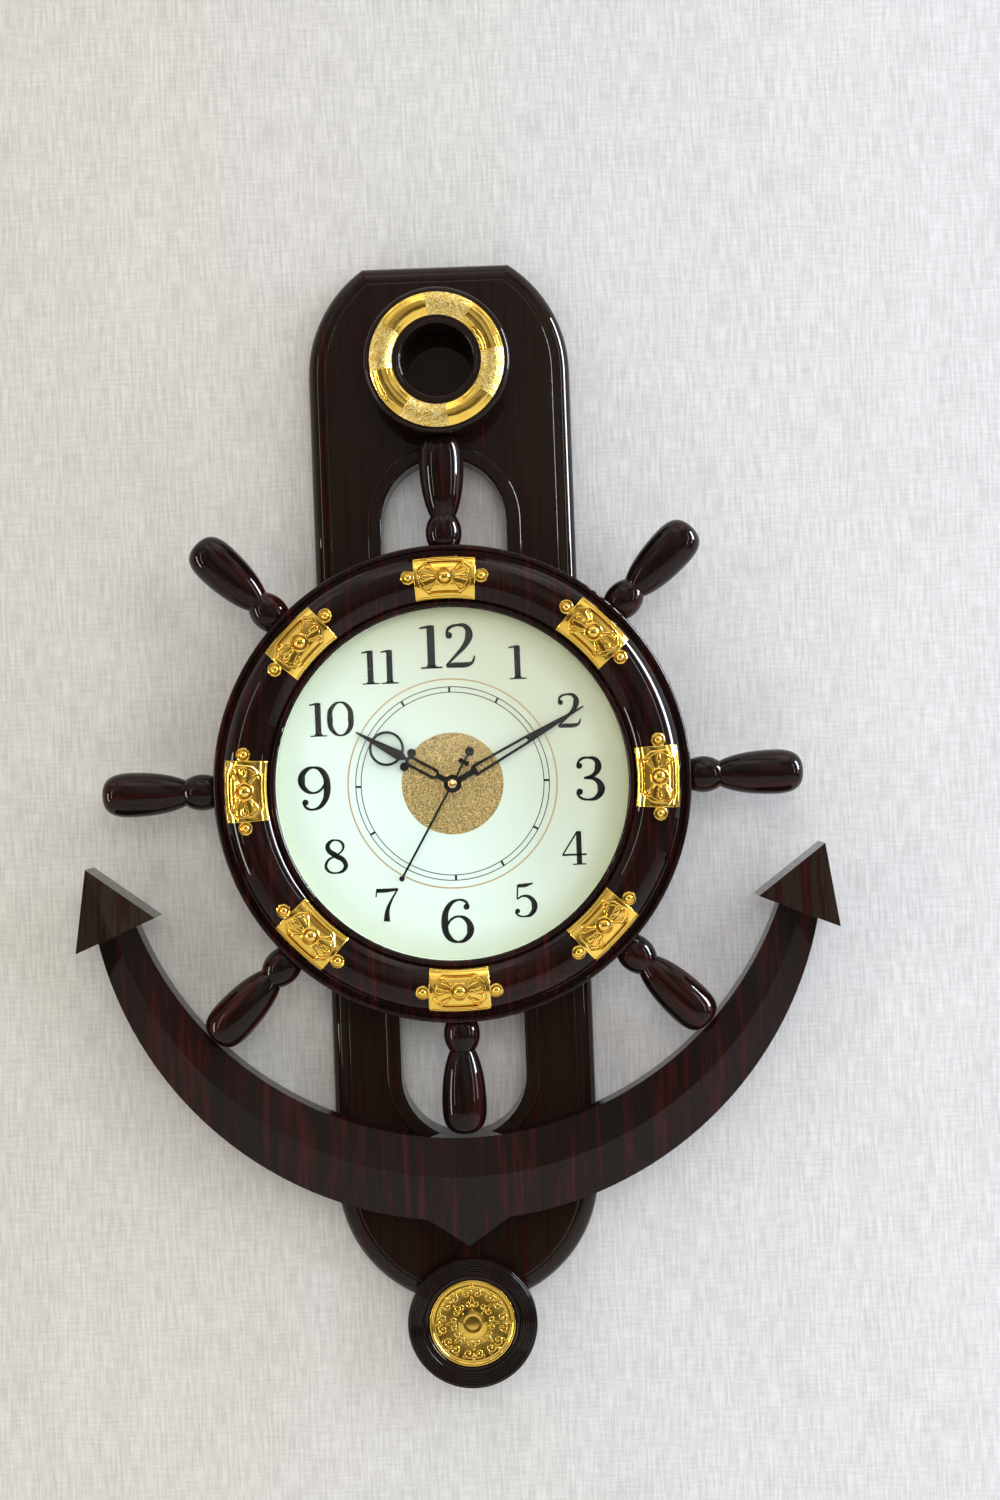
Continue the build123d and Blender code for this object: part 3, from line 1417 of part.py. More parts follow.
medallion_face = bob_floor + medallion_thickness
with BuildPart() as bob_medallion:
    disc(medallion_radius, bob_floor, medallion_face, (0, bob_rise))
    with BuildSketch(front(medallion_face)):
        with Locations((0, bob_rise)):
            Circle(medallion_radius)
            Circle(medallion_radius - medallion_rim_width, mode=Mode.SUBTRACT)
    extrude(amount=medallion_rim_relief)
    disc(medallion_disc_radius, medallion_face, medallion_face + medallion_disc_relief, (0, bob_rise))
    with BuildSketch(front(medallion_face)):
        with Locations((0, bob_rise)):
            with PolarLocations(scroll_place, scroll_count):
                Circle(scroll_radius)
        with Locations((0, bob_rise)):
            with PolarLocations(scroll_place, scroll_count):
                Circle(scroll_radius - scroll_stroke, mode=Mode.SUBTRACT)
    extrude(amount=scroll_relief)
save(bob_medallion.part, "bob_medallion")


# Cells and their contacts, one of each pair in the movement and one in the drive
def along(middle, direction, distance):
    """A plane square to a cell's length, at a distance from the middle of its bay."""
    return Plane(
        origin=(
            middle[0] + direction[0] * distance,
            hanger_recess - middle[2],
            axis_rise + middle[1] + direction[1] * distance,
        ),
        z_dir=(direction[0], 0, direction[1]),
    )


bays = (
    ((0, bay_middle, cell_height), (1, 0)),
    ((bay_middle, drive_centre_rise, drive_cell_height), (0, 1)),
)
nub_end = unit_half - contact_thickness
cell_start = nub_end - cell_nub_length - cell_length
with BuildPart() as cells:
    for middle, direction in bays:
        with BuildSketch(along(middle, direction, cell_start)):
            Circle(cell_radius)
        extrude(amount=cell_length)
        with BuildSketch(along(middle, direction, cell_start + cell_length)):
            Circle(cell_nub_radius)
        extrude(amount=cell_nub_length)
save(cells.part, "cells")

with BuildPart() as cell_contacts:
    for middle, direction in bays:
        for start in (-unit_half, nub_end):
            with BuildSketch(along(middle, direction, start)):
                Rectangle(contact_width, contact_width)
            extrude(amount=contact_thickness)
        with BuildSketch(along(middle, direction, contact_thickness - unit_half)):
            Circle(contact_spring_radius)
        extrude(amount=unit_half - contact_thickness + cell_start)
save(cell_contacts.part, "cell_contacts")


# Hands, drawn pointing up and turned to where they stand
def hand_plane(height, angle):
    """A plane parallel to the wall whose local Y points along a hand, at a clockwise angle from the top."""
    turn = math.radians(angle)
    return Plane(
        origin=(0, hanger_recess - height, axis_rise),
        x_dir=(math.cos(turn), 0, -math.sin(turn)),
        z_dir=(0, -1, 0),
    )


with BuildPart() as hour_hand:
    with BuildSketch(hand_plane(hour_hand_height, hour_hand_angle)):
        Circle(hour_hub_radius)
        with Locations((0, (hour_loop_start + hour_loop_end) / 2)):
            SlotOverall(hour_loop_end - hour_loop_start, hour_loop_width, rotation=90)
            SlotOverall(hour_loop_end - hour_loop_start - 2 * hour_loop_stroke,
                        hour_loop_width - 2 * hour_loop_stroke, rotation=90, mode=Mode.SUBTRACT)
        with Locations((0, (hour_loop_start + hour_ring_stroke / 2) / 2)):
            Rectangle(hour_stem_width, hour_loop_start + hour_ring_stroke / 2)
        with Locations((0, hour_ball_place)):
            Rectangle(2 * hour_ball_reach, hour_ring_stroke)
        with Locations((-hour_ball_reach, hour_ball_place), (hour_ball_reach, hour_ball_place)):
            Circle(hour_ball_radius)
        with Locations((0, hour_ring_place)):
            Circle(hour_ring_radius)
            Circle(hour_ring_radius - hour_ring_stroke, mode=Mode.SUBTRACT)
        Polygon(
            (0, hour_ball_place),
            (hour_blade_width / 2, hour_blade_waist),
            (hand_tip_width / 2, hour_hand_length),
            (-hand_tip_width / 2, hour_hand_length),
            (-hour_blade_width / 2, hour_blade_waist),
            align=None,
        )
        Circle(hour_tube_radius, mode=Mode.SUBTRACT)
    extrude(amount=hand_thickness)
save(hour_hand.part, "hour_hand")

with BuildPart() as minute_hand:
    with BuildSketch(hand_plane(minute_hand_height, minute_hand_angle)):
        Circle(minute_hub_radius)
        with Locations((0, minute_slot_start / 2)):
            Rectangle(minute_stem_width, minute_slot_start)
        Polygon(
            (-minute_stem_width / 2, minute_slot_start),
            (minute_stem_width / 2, minute_slot_start),
            (minute_shaft_width / 2, minute_slot_start + minute_shoulder),
            (minute_shaft_end_width / 2, minute_slot_end),
            (hand_tip_width / 2, minute_hand_length),
            (-hand_tip_width / 2, minute_hand_length),
            (-minute_shaft_end_width / 2, minute_slot_end),
            (-minute_shaft_width / 2, minute_slot_start + minute_shoulder),
            align=None,
        )
        Polygon(
            (minute_bar_width - minute_shaft_width / 2, minute_slot_start + 2 * minute_shoulder),
            (minute_shaft_width / 2 - minute_bar_width, minute_slot_start + 2 * minute_shoulder),
            (minute_shaft_end_width / 2 - minute_bar_width, minute_slot_end),
            (minute_bar_width - minute_shaft_end_width / 2, minute_slot_end),
            align=None,
            mode=Mode.SUBTRACT,
        )
        Circle(minute_tube_radius, mode=Mode.SUBTRACT)
    extrude(amount=hand_thickness)
save(minute_hand.part, "minute_hand")

with BuildPart() as second_hand:
    with BuildSketch(hand_plane(second_hand_height, second_hand_angle)):
        with Locations((0, (second_hand_length - second_tail_length) / 2)):
            Rectangle(second_hand_width, second_hand_length + second_tail_length)
        with Locations((0, second_hand_length)):
            Circle(second_ball_radius)
        with Locations((0, -second_tail_length)):
            Circle(second_tail_ball_radius)
        with Locations((-second_leaf_reach, -second_leaf_place), (second_leaf_reach, -second_leaf_place)):
            Circle(second_leaf_radius)
        Circle(seconds_arbor_radius, mode=Mode.SUBTRACT)
    extrude(amount=hand_thickness)
    with BuildSketch(front(second_hand_height)):
        Circle(second_hub_radius)
        Circle(seconds_arbor_radius, mode=Mode.SUBTRACT)
    extrude(amount=second_hub_height)
save(second_hand.part, "second_hand")
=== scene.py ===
import json
import math

import bpy
from mathutils import Matrix, Vector


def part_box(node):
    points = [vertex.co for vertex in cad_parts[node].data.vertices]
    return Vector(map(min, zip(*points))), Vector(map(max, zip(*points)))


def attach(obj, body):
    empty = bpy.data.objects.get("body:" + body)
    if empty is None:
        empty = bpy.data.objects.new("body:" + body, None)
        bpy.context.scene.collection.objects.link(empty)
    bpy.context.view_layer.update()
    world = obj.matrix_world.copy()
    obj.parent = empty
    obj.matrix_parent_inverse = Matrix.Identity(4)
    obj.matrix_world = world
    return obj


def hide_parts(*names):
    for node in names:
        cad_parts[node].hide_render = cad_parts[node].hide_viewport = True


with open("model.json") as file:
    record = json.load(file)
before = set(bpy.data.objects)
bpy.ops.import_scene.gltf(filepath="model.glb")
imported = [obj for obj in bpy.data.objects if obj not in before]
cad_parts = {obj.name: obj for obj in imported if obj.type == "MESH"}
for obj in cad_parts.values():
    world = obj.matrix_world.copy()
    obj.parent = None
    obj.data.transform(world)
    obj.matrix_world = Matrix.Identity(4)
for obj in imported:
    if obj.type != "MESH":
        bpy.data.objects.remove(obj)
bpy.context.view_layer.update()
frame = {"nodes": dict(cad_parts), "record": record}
nodes = frame["nodes"]
print("solids loaded:", len(nodes))

# %% [markdown]
# Most places on the clock are easiest to give as millimetres across and up from the wheel's axis,
# and as a height above the wall. These few values and helpers turn them into the frame's metres.

# %% Places on the clock
MM = 0.001
AXIS_RISE = -0.235
WALL = 0.0026


def spot(across, up, height):
    """A point given in millimetres from the wheel's axis and above the wall, in metres."""
    return Vector((across * MM, WALL - height * MM, AXIS_RISE + up * MM))


def only(piece):
    """Selects one piece and makes it the active one."""
    bpy.ops.object.select_all(action="DESELECT")
    piece.select_set(True)
    bpy.context.view_layer.objects.active = piece
    return piece


def apply_place():
    """Makes the place, turn and scale of the selected piece part of its mesh."""
    bpy.ops.object.transform_apply(location=True, rotation=True, scale=True)


def settle(piece, place):
    """Puts a piece that was made lying flat at the origin on the clock, facing the room."""
    only(piece)
    upright = Matrix.Rotation(math.radians(90), 4, "X")
    piece.matrix_world = Matrix.Translation(place) @ upright @ piece.matrix_world
    apply_place()
    return piece


def turned_copy(piece, number):
    """A copy of a piece that lies flat, turned clockwise by a number of eighths."""
    only(piece)
    bpy.ops.object.duplicate(linked=False)
    copy = bpy.context.object
    copy.rotation_euler = (0, 0, -math.radians(45 * number))
    return copy


def smooth(piece, angle=None):
    """Shades a piece smoothly, but for the edges sharper than an angle in degrees if one is given."""
    only(piece)
    if angle is None:
        bpy.ops.object.shade_smooth()
    else:
        bpy.ops.object.shade_smooth_by_angle(angle=math.radians(angle))


def thicken(piece, height):
    """Pulls a flat piece up by a height in metres and turns all its faces outwards."""
    only(piece)
    bpy.ops.object.mode_set(mode="EDIT")
    bpy.ops.mesh.select_all(action="SELECT")
    bpy.ops.mesh.extrude_region_move(TRANSFORM_OT_translate={"value": (0, 0, height)})
    bpy.ops.mesh.select_all(action="SELECT")
    bpy.ops.mesh.normals_make_consistent(inside=False)
    bpy.ops.object.mode_set(mode="OBJECT")
    return piece


def join(pieces):
    """Makes several pieces one and returns it."""
    bpy.ops.object.select_all(action="DESELECT")
    for piece in pieces:
        piece.select_set(True)
    bpy.context.view_layer.objects.active = pieces[0]
    bpy.ops.object.join()
    return bpy.context.object


def finish_with(piece, name, material, body):
    """Names a finished piece, gives it its material and hangs it on its body."""
    piece.name = name
    piece.data.name = name
    piece.data.materials.clear()
    piece.data.materials.append(material)
    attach(piece, body)
    return piece


# %% [markdown]
# The camera comes first. The photograph was taken with a normal lens from a little over a metre
# away, a touch to the right of the dial's middle, and the clock leans by two degrees in the picture.

# %% Camera
CAMERA_DISTANCE = 1.09
CAMERA_ACROSS = 0.0245
CAMERA_UP = 0.016
CAMERA_LEAN = math.radians(2.1)
bpy.ops.object.camera_add(
    location=(CAMERA_ACROSS, WALL - CAMERA_DISTANCE, AXIS_RISE + CAMERA_UP),
    rotation=(math.radians(90), CAMERA_LEAN, 0),
)
camera = bpy.context.object
camera.data.lens = 50
camera.data.sensor_width = 36
bpy.context.scene.camera = camera
bpy.context.scene.view_settings.view_transform = "Standard"

# %% [markdown]
# The light comes mostly from a window on the right. A wide soft panel gives its light, and two narrow
# bright panels beside it are what the lacquer mirrors: like slits between curtains, they draw the
# thin lines along the mouldings. A weaker warm strip does the same on the left, and a soft panel near
# the camera fills the shadows. The two soft panels are kept out of the mirrors. Two panes, one on each
# side and almost level with the wall, are there for the mirrors alone: they put a sheen on the outer
# slopes of the mouldings and light nothing that is dull.

# %% Lights


def panel_light(name, place, size, power, colour, mirrored=True, lights=True):
    """A rectangular lamp that looks at the middle of the dial. It can be only mirrored, or only light."""
    bpy.ops.object.light_add(type="AREA", location=place)
    lamp = bpy.context.object
    lamp.name = name
    lamp.data.shape = "RECTANGLE"
    lamp.data.size, lamp.data.size_y = size
    lamp.data.energy = power
    lamp.data.color = colour
    lamp.visible_glossy = mirrored
    lamp.visible_diffuse = lights
    towards = spot(0, 0, 40) - lamp.location
    lamp.rotation_euler = towards.to_track_quat("-Z", "Y").to_euler()
    print(name, "shines with", power, "W")


COOL, WARM, PLAIN = (0.82, 0.91, 1.0), (1.0, 0.86, 0.68), (1.0, 0.955, 0.88)
panel_light("window_glow", (1.8, -1.8, 0.75), (1.2, 1.6), 12, COOL, mirrored=False)
panel_light("window_slit_near", (2.0, -1.5, 0.2), (0.07, 1.8), 7, COOL)
panel_light("window_slit_far", (2.6, -0.65, 0.3), (0.30, 2.0), 16, COOL)
panel_light("window_pane", (2.4, -0.32, 0.7), (0.45, 1.5), 150, COOL, lights=False)
panel_light("room_strip", (-1.9, -1.6, 0.0), (0.08, 1.5), 5, WARM)
panel_light("room_pane", (-2.3, -0.8, -0.5), (0.25, 1.3), 18, PLAIN, lights=False)
panel_light("front_fill", (0.1, -2.4, 0.35), (1.2, 1.2), 15, PLAIN, mirrored=False)

# %% [markdown]
# Each finish is a small node tree. These helpers make a material with its shader and the few kinds of
# nodes that the finishes below connect. The noise reads the piece's own coordinates.

# %% A start for every finish


def new_finish(name, colour, roughness, metallic=0.0):
    """A material with plain values on its shader. Returns the material, its tree and the shader."""
    material = bpy.data.materials.new(name)
    material.use_nodes = True
    tree = material.node_tree
    shader = tree.nodes["Principled BSDF"]
    shader.inputs["Base Color"].default_value = (*colour, 1)
    shader.inputs["Roughness"].default_value = roughness
    shader.inputs["Metallic"].default_value = metallic
    return material, tree, shader


def noise(tree, scale, detail=3.0, stretch=(1, 1, 1), offset=(0, 0, 0), turn=0):
    """A noise texture on object coordinates, turned about Y by degrees, then stretched."""
    where = tree.nodes.new("ShaderNodeTexCoord")
    turned = tree.nodes.new("ShaderNodeVectorRotate")
    turned.rotation_type = "Y_AXIS"
    turned.inputs["Angle"].default_value = math.radians(turn)
    mapping = tree.nodes.new("ShaderNodeMapping")
    mapping.inputs["Scale"].default_value = stretch
    mapping.inputs["Location"].default_value = offset
    texture = tree.nodes.new("ShaderNodeTexNoise")
    texture.inputs["Scale"].default_value = scale
    texture.inputs["Detail"].default_value = detail
    tree.links.new(where.outputs["Object"], turned.inputs["Vector"])
    tree.links.new(turned.outputs["Vector"], mapping.inputs["Vector"])
    tree.links.new(mapping.outputs["Vector"], texture.inputs["Vector"])
    return texture


def sum_up(tree, operation, first, second=None):
    """One step of arithmetic on values or sockets."""
    step = tree.nodes.new("ShaderNodeMath")
    step.operation = operation
    for socket, value in zip(step.inputs, (first, second)):
        if isinstance(value, (int, float)):
            socket.default_value = value
        elif value is not None:
            tree.links.new(value, socket)
    return step.outputs["Value"]


def mix_values(tree, share, first, second):
    """Mixes two value sockets."""
    blend = tree.nodes.new("ShaderNodeMix")
    blend.data_type = "FLOAT"
    for socket, value in zip(("Factor", "A", "B"), (share, first, second)):
        if isinstance(value, (int, float)):
            blend.inputs[socket].default_value = value
        else:
            tree.links.new(value, blend.inputs[socket])
    return blend.outputs["Result"]


def ramp(tree, source, stops):
    """A colour ramp from a list of (place, colour)."""
    colours = tree.nodes.new("ShaderNodeValToRGB")
    elements = colours.color_ramp.elements
    while len(elements) < len(stops):
        elements.new(0.5)
    for element, (place, colour) in zip(elements, stops):
        element.position = place
        element.color = (*colour, 1)
    tree.links.new(source, colours.inputs["Fac"])
    return colours


def spread(tree, source, low, high):
    """Maps a value from 0 to 1 onto a range."""
    mapped = tree.nodes.new("ShaderNodeMapRange")
    mapped.inputs["To Min"].default_value = low
    mapped.inputs["To Max"].default_value = high
    tree.links.new(source, mapped.inputs["Value"])
    return mapped.outputs["Result"]


def multiplied(tree, first, second):
    """Two colours multiplied, as when one is a tint over the other."""
    blend = tree.nodes.new("ShaderNodeMix")
    blend.data_type, blend.blend_type = "RGBA", "MULTIPLY"
    blend.inputs["Factor"].default_value = 1.0
    tree.links.new(first, blend.inputs["A"])
    tree.links.new(second, blend.inputs["B"])
    return blend.outputs["Result"]


def bump(tree, shader, source, distance):
    """Lets a value raise the surface by a distance in metres."""
    raised = tree.nodes.new("ShaderNodeBump")
    raised.inputs["Distance"].default_value = distance
    raised.inputs["Strength"].default_value = 1.0
    tree.links.new(source, raised.inputs["Height"])
    tree.links.new(raised.outputs["Normal"], shader.inputs["Normal"])


def let_through(tree, shader, when):
    """Makes a finish clear where a value is 1."""
    clear = tree.nodes.new("ShaderNodeBsdfTransparent")
    mix = tree.nodes.new("ShaderNodeMixShader")
    tree.links.new(when, mix.inputs["Fac"])
    tree.links.new(shader.outputs["BSDF"], mix.inputs[1])
    tree.links.new(clear.outputs["BSDF"], mix.inputs[2])
    tree.links.new(mix.outputs["Shader"], tree.nodes["Material Output"].inputs["Surface"])


def specks(tree, size):
    """Cells of a size in millimetres, and the parts of the colour that each cell has."""
    where = tree.nodes.new("ShaderNodeTexCoord")
    cells = tree.nodes.new("ShaderNodeTexVoronoi")
    cells.inputs["Scale"].default_value = 1 / (size * MM)
    tree.links.new(where.outputs["Object"], cells.inputs["Vector"])
    tone = tree.nodes.new("ShaderNodeSeparateColor")
    tree.links.new(cells.outputs["Color"], tone.inputs["Color"])
    return cells, tone


# %% [markdown]
# The world is what the gloss and the gold mirror everywhere else. A dark gloss looks milky and gold
# looks flat in an even surrounding, so it is a room of its own: pale above, dim straight ahead where
# the camera stands, brown below, with soft clouds of brighter and darker things all round.

# %% Surroundings
world = bpy.data.worlds.new("room")
bpy.context.scene.world = world
world.use_nodes = True
sky = world.node_tree
backdrop = sky.nodes["Background"]
facing = sky.nodes.new("ShaderNodeTexCoord")
parts = sky.nodes.new("ShaderNodeSeparateXYZ")
clouds = sky.nodes.new("ShaderNodeTexNoise")
clouds.inputs["Scale"].default_value = 2.6
clouds.inputs["Detail"].default_value = 1.5
sky.links.new(facing.outputs["Generated"], parts.inputs["Vector"])
sky.links.new(facing.outputs["Generated"], clouds.inputs["Vector"])
rise = sum_up(sky, "ADD", sum_up(sky, "MULTIPLY", parts.outputs["Z"], 0.5), 0.5)
room = ramp(sky, rise, [(0.20, (0.08, 0.065, 0.055)), (0.42, (0.16, 0.14, 0.12)),
                        (0.60, (0.28, 0.26, 0.24)), (0.82, (0.42, 0.40, 0.37)), (0.93, (1.2, 1.15, 1.08))])
sky.links.new(room.outputs["Color"], backdrop.inputs["Color"])
strength = sum_up(sky, "MAXIMUM", spread(sky, clouds.outputs["Fac"], -1.3, 3.4), 0.10)
sky.links.new(strength, backdrop.inputs["Strength"])

# %% [markdown]
# The mouldings carry a dark rosewood print under a thick clear lacquer: nearly black brown with long
# upright streaks of deep red. Noise that is stretched along Z makes the streaks, a second finer one
# breaks them up, and the coat gives the wet gloss. On a turned handle the streaks run along the
# handle, so each direction has its own turned copy of the finish.

# %% Rosewood lacquer
BLACK_BROWN = (0.0075, 0.0040, 0.0032)
DEEP_RED = (0.015, 0.0038, 0.0034)
BRIGHT_RED = (0.040, 0.0060, 0.0054)


def rosewood(name, turn=0, dullness=0.0, ground=BLACK_BROWN):
    """The lacquered print. Its streaks run along Z, or turned by degrees, and dullness hides them."""
    material, tree, shader = new_finish(name, ground, 0.35)
    streaks = noise(tree, 1.0, 2.0, (300, 40, 14), turn=turn)
    fine = noise(tree, 1.0, 2.0, (800, 90, 40), (3, 1, 2), turn)
    blend = mix_values(tree, 0.30, streaks.outputs["Fac"], fine.outputs["Fac"])
    shown = sum_up(tree, "SUBTRACT", blend, dullness)
    colours = ramp(tree, shown, [(0.43, ground), (0.54, DEEP_RED), (0.66, BRIGHT_RED)])
    tree.links.new(colours.outputs["Color"], shader.inputs["Base Color"])
    tree.links.new(spread(tree, fine.outputs["Fac"], 0.28, 0.42), shader.inputs["Roughness"])
    shader.inputs["Specular IOR Level"].default_value = 0.0
    shader.inputs["Coat Weight"].default_value = 1.0
    shader.inputs["Coat Roughness"].default_value = 0.025
    shader.inputs["Coat IOR"].default_value = 1.31
    return material


lacquer = rosewood("lacquer")
board_lacquer = rosewood("board_lacquer", dullness=0.07, ground=(0.0150, 0.0085, 0.0055))
fluke_lacquer = rosewood("fluke_lacquer", dullness=0.03, ground=(0.024, 0.0155, 0.0105))
handle_lacquers = [rosewood(f"handle_lacquer_{turn}", -turn) for turn in (0, 45, 90, 135)]

# %% [markdown]
# The plates, the ring's trim and the medallion are plastic plated with a bright gold. A faint wave in
# the surface keeps the mirror from looking drawn, and small pits dull it a little.

# %% Gold plating
GOLD = (1.0, 0.66, 0.12)


def gold_plating(name, wave=0.00012, depth=1.0):
    """Bright gold. A wave in metres bends its mirror, and a depth below 1 darkens it."""
    material, tree, shader = new_finish(name, GOLD, 0.16, 1.0)
    slow = noise(tree, 220.0, 3.0)
    pits = noise(tree, 1500.0, 2.0)
    tree.links.new(spread(tree, pits.outputs["Fac"], 0.05, 0.16), shader.inputs["Roughness"])
    colours = ramp(tree, slow.outputs["Fac"], [(0.3, (0.95 * depth, 0.60 * depth, 0.09 * depth)),
                                               (0.7, (1.0 * depth, 0.71 * depth, 0.16 * depth))])
    tree.links.new(colours.outputs["Color"], shader.inputs["Base Color"])
    bump(tree, shader, slow.outputs["Fac"], wave)
    return material


gilt = gold_plating("gilt")

# %% [markdown]
# The small inner pieces get plain but real finishes: moulded plastic, zinc plated steel, brass,
# wound copper and so on. Each has a little grain in its roughness, because nothing is perfectly even.

# %% Plastics and metals


def grained(name, colour, low, high, scale, metallic=0.0, stretch=(1, 1, 1), relief=0.0, shine=0.5):
    """A finish whose roughness wanders between two values, with a relief in metres if asked."""
    material, tree, shader = new_finish(name, colour, high, metallic)
    shader.inputs["Specular IOR Level"].default_value = shine
    grain = noise(tree, scale, 4.0, stretch)
    tree.links.new(spread(tree, grain.outputs["Fac"], low, high), shader.inputs["Roughness"])
    darker = tuple(share * 0.86 for share in colour)
    colours = ramp(tree, grain.outputs["Fac"], [(0.3, darker), (0.7, colour)])
    tree.links.new(colours.outputs["Color"], shader.inputs["Base Color"])
    if relief > 0:
        bump(tree, shader, grain.outputs["Fac"], relief)
    return material


dark_plastic = grained("dark_plastic", (0.022, 0.020, 0.020), 0.45, 0.62, 2600, relief=0.00004)
cream_plastic = grained("cream_plastic", (0.80, 0.86, 0.74), 0.30, 0.42, 900)
gear_plastic = grained("gear_plastic", (0.80, 0.78, 0.70), 0.32, 0.45, 1400)
zinc_steel = grained("zinc_steel", (0.62, 0.62, 0.60), 0.24, 0.40, 900, 1.0, (1, 1, 6))
brass = grained("brass", (0.86, 0.62, 0.27), 0.16, 0.28, 1200, 1.0)
copper = grained("copper", (0.70, 0.30, 0.13), 0.28, 0.42, 900, 1.0, (12, 1, 1), 0.00005)
magnet = grained("magnet", (0.09, 0.09, 0.10), 0.48, 0.66, 1600, relief=0.00003)
circuit = grained("circuit", (0.03, 0.16, 0.06), 0.30, 0.42, 1100)
cell_wrap = grained("cell_wrap", (0.70, 0.70, 0.68), 0.28, 0.38, 700)
hand_black = grained("hand_black", (0.006, 0.006, 0.007), 0.32, 0.44, 1500, shine=0.12)

# %% [markdown]
# The glass is thin and flat. A glass shader alone would stop the lamps from reaching the dial, so
# the rays from the lamps pass it by a transparent shader instead.

# %% Glass


def window_glass(name):
    """Clear thin glass that lets the lamps' rays pass."""
    material, tree, shader = new_finish(name, (0.97, 0.99, 0.98), 0.0)
    shader.inputs["Transmission Weight"].default_value = 1.0
    shader.inputs["IOR"].default_value = 1.2
    path = tree.nodes.new("ShaderNodeLightPath")
    let_through(tree, shader, path.outputs["Is Shadow Ray"])
    return material


glass = window_glass("glass")

# %% [markdown]
# The dial is a printed sheet of pale mint, with painted shade that makes it a little warmer and darker
# towards its edge, under the rim, and yellower towards the upper right, the rim's shadow side. The
# distance from the hands' axis drives the tint, so the sheet reads its own coordinates moved to that axis.

# %% Dial sheet
PAPER_RADIUS = 92 * MM


def from_axis(tree, rise=AXIS_RISE):
    """Object coordinates counted from a point on the clock's middle line, flattened along Y."""
    where = tree.nodes.new("ShaderNodeTexCoord")
    mapping = tree.nodes.new("ShaderNodeMapping")
    mapping.inputs["Location"].default_value = (0, 0, -rise)
    flat = tree.nodes.new("ShaderNodeVectorMath")
    flat.operation = "MULTIPLY"
    flat.inputs[1].default_value = (1, 0, 1)
    tree.links.new(where.outputs["Object"], mapping.inputs["Vector"])
    tree.links.new(mapping.outputs["Vector"], flat.inputs[0])
    return flat.outputs["Vector"]


def dial_paper(name):
    """The mint print, tinted by the distance from the axis, with painted shade towards the edge and the upper
    right.
    """
    material, tree, shader = new_finish(name, (0.65, 0.75, 0.64), 0.42)
    length = tree.nodes.new("ShaderNodeVectorMath")
    length.operation = "LENGTH"
    tree.links.new(from_axis(tree), length.inputs[0])
    scaled = tree.nodes.new("ShaderNodeMapRange")
    scaled.inputs["From Max"].default_value = PAPER_RADIUS
    tree.links.new(length.outputs["Value"], scaled.inputs["Value"])
    # The outer end of this ramp is painted shade: darker and warmer towards the edge, under the rim.
    colours = ramp(tree, scaled.outputs["Result"],
                   [(0.35, (0.585, 0.695, 0.665)), (0.80, (0.585, 0.685, 0.63)), (1.0, (0.52, 0.585, 0.445))])
    sides = tree.nodes.new("ShaderNodeSeparateXYZ")
    tree.links.new(from_axis(tree), sides.inputs["Vector"])
    slant = sum_up(tree, "ADD", sides.outputs["X"], sides.outputs["Z"])
    share = sum_up(tree, "ADD", sum_up(tree, "MULTIPLY", slant, 0.5 / PAPER_RADIUS), 0.5)
    # Painted shade: yellower and darker towards the upper right, the rim's shadow side lit by warm bounce
    # light.
    painted_shade_tint = ramp(tree, share, [(0.25, (1.0, 1.0, 1.0)), (0.90, (0.86, 0.79, 0.68))])
    print_with_painted_shade = multiplied(tree, colours.outputs["Color"], painted_shade_tint.outputs["Color"])
    tree.links.new(print_with_painted_shade, shader.inputs["Base Color"])
    fibre = noise(tree, 900.0, 4.0)
    tree.links.new(spread(tree, fibre.outputs["Fac"], 0.36, 0.50), shader.inputs["Roughness"])
    return material


dial_print = dial_paper("dial_print")

# %% [markdown]
# The solids that already have their final shape only need their finish. Each node's object takes the
# material of its slot in the record.

# %% Finishes on the solids
FINISHES = {
    "lacquer": lacquer, "gilt": gilt, "dark_plastic": dark_plastic, "cream_plastic": cream_plastic,
    "gear_plastic": gear_plastic, "zinc_steel": zinc_steel, "brass": brass, "copper": copper,
    "magnet": magnet, "circuit": circuit, "cell_wrap": cell_wrap, "hand_black": hand_black,
    "glass": glass, "dial_print": dial_print,
}
for entry in frame["record"]["subparts"]:
    solid = nodes[entry["node"]]
    for slot in solid.material_slots:
        slot.material = FINISHES[entry["material_slot"]]
for number in range(8):
    for slot in nodes[f"wheel_handle_{number + 1}"].material_slots:
        slot.material = handle_lacquers[number % 4]
for name in ("backboard", "ring_housing"):
    for slot in nodes[name].material_slots:
        slot.material = board_lacquer
for name in ("fluke_left", "fluke_right"):
    for slot in nodes[name].material_slots:
        slot.material = fluke_lacquer

# %% [markdown]
# The ring at the top wears a gilt trim. Four of its sectors are smooth and polished, and between them
# the plating is stippled like sugar. Both are one solid, so its finish asks for the angle about the
# ring's middle: the arc tangent of the coordinates gives it, and the distance from the nearest
# polished sector's middle mixes the two surfaces.

# %% Ring trim
RING_RISE = 211.8
SECTOR_MIDDLE = 58.5
SECTOR_HALF = 22.5


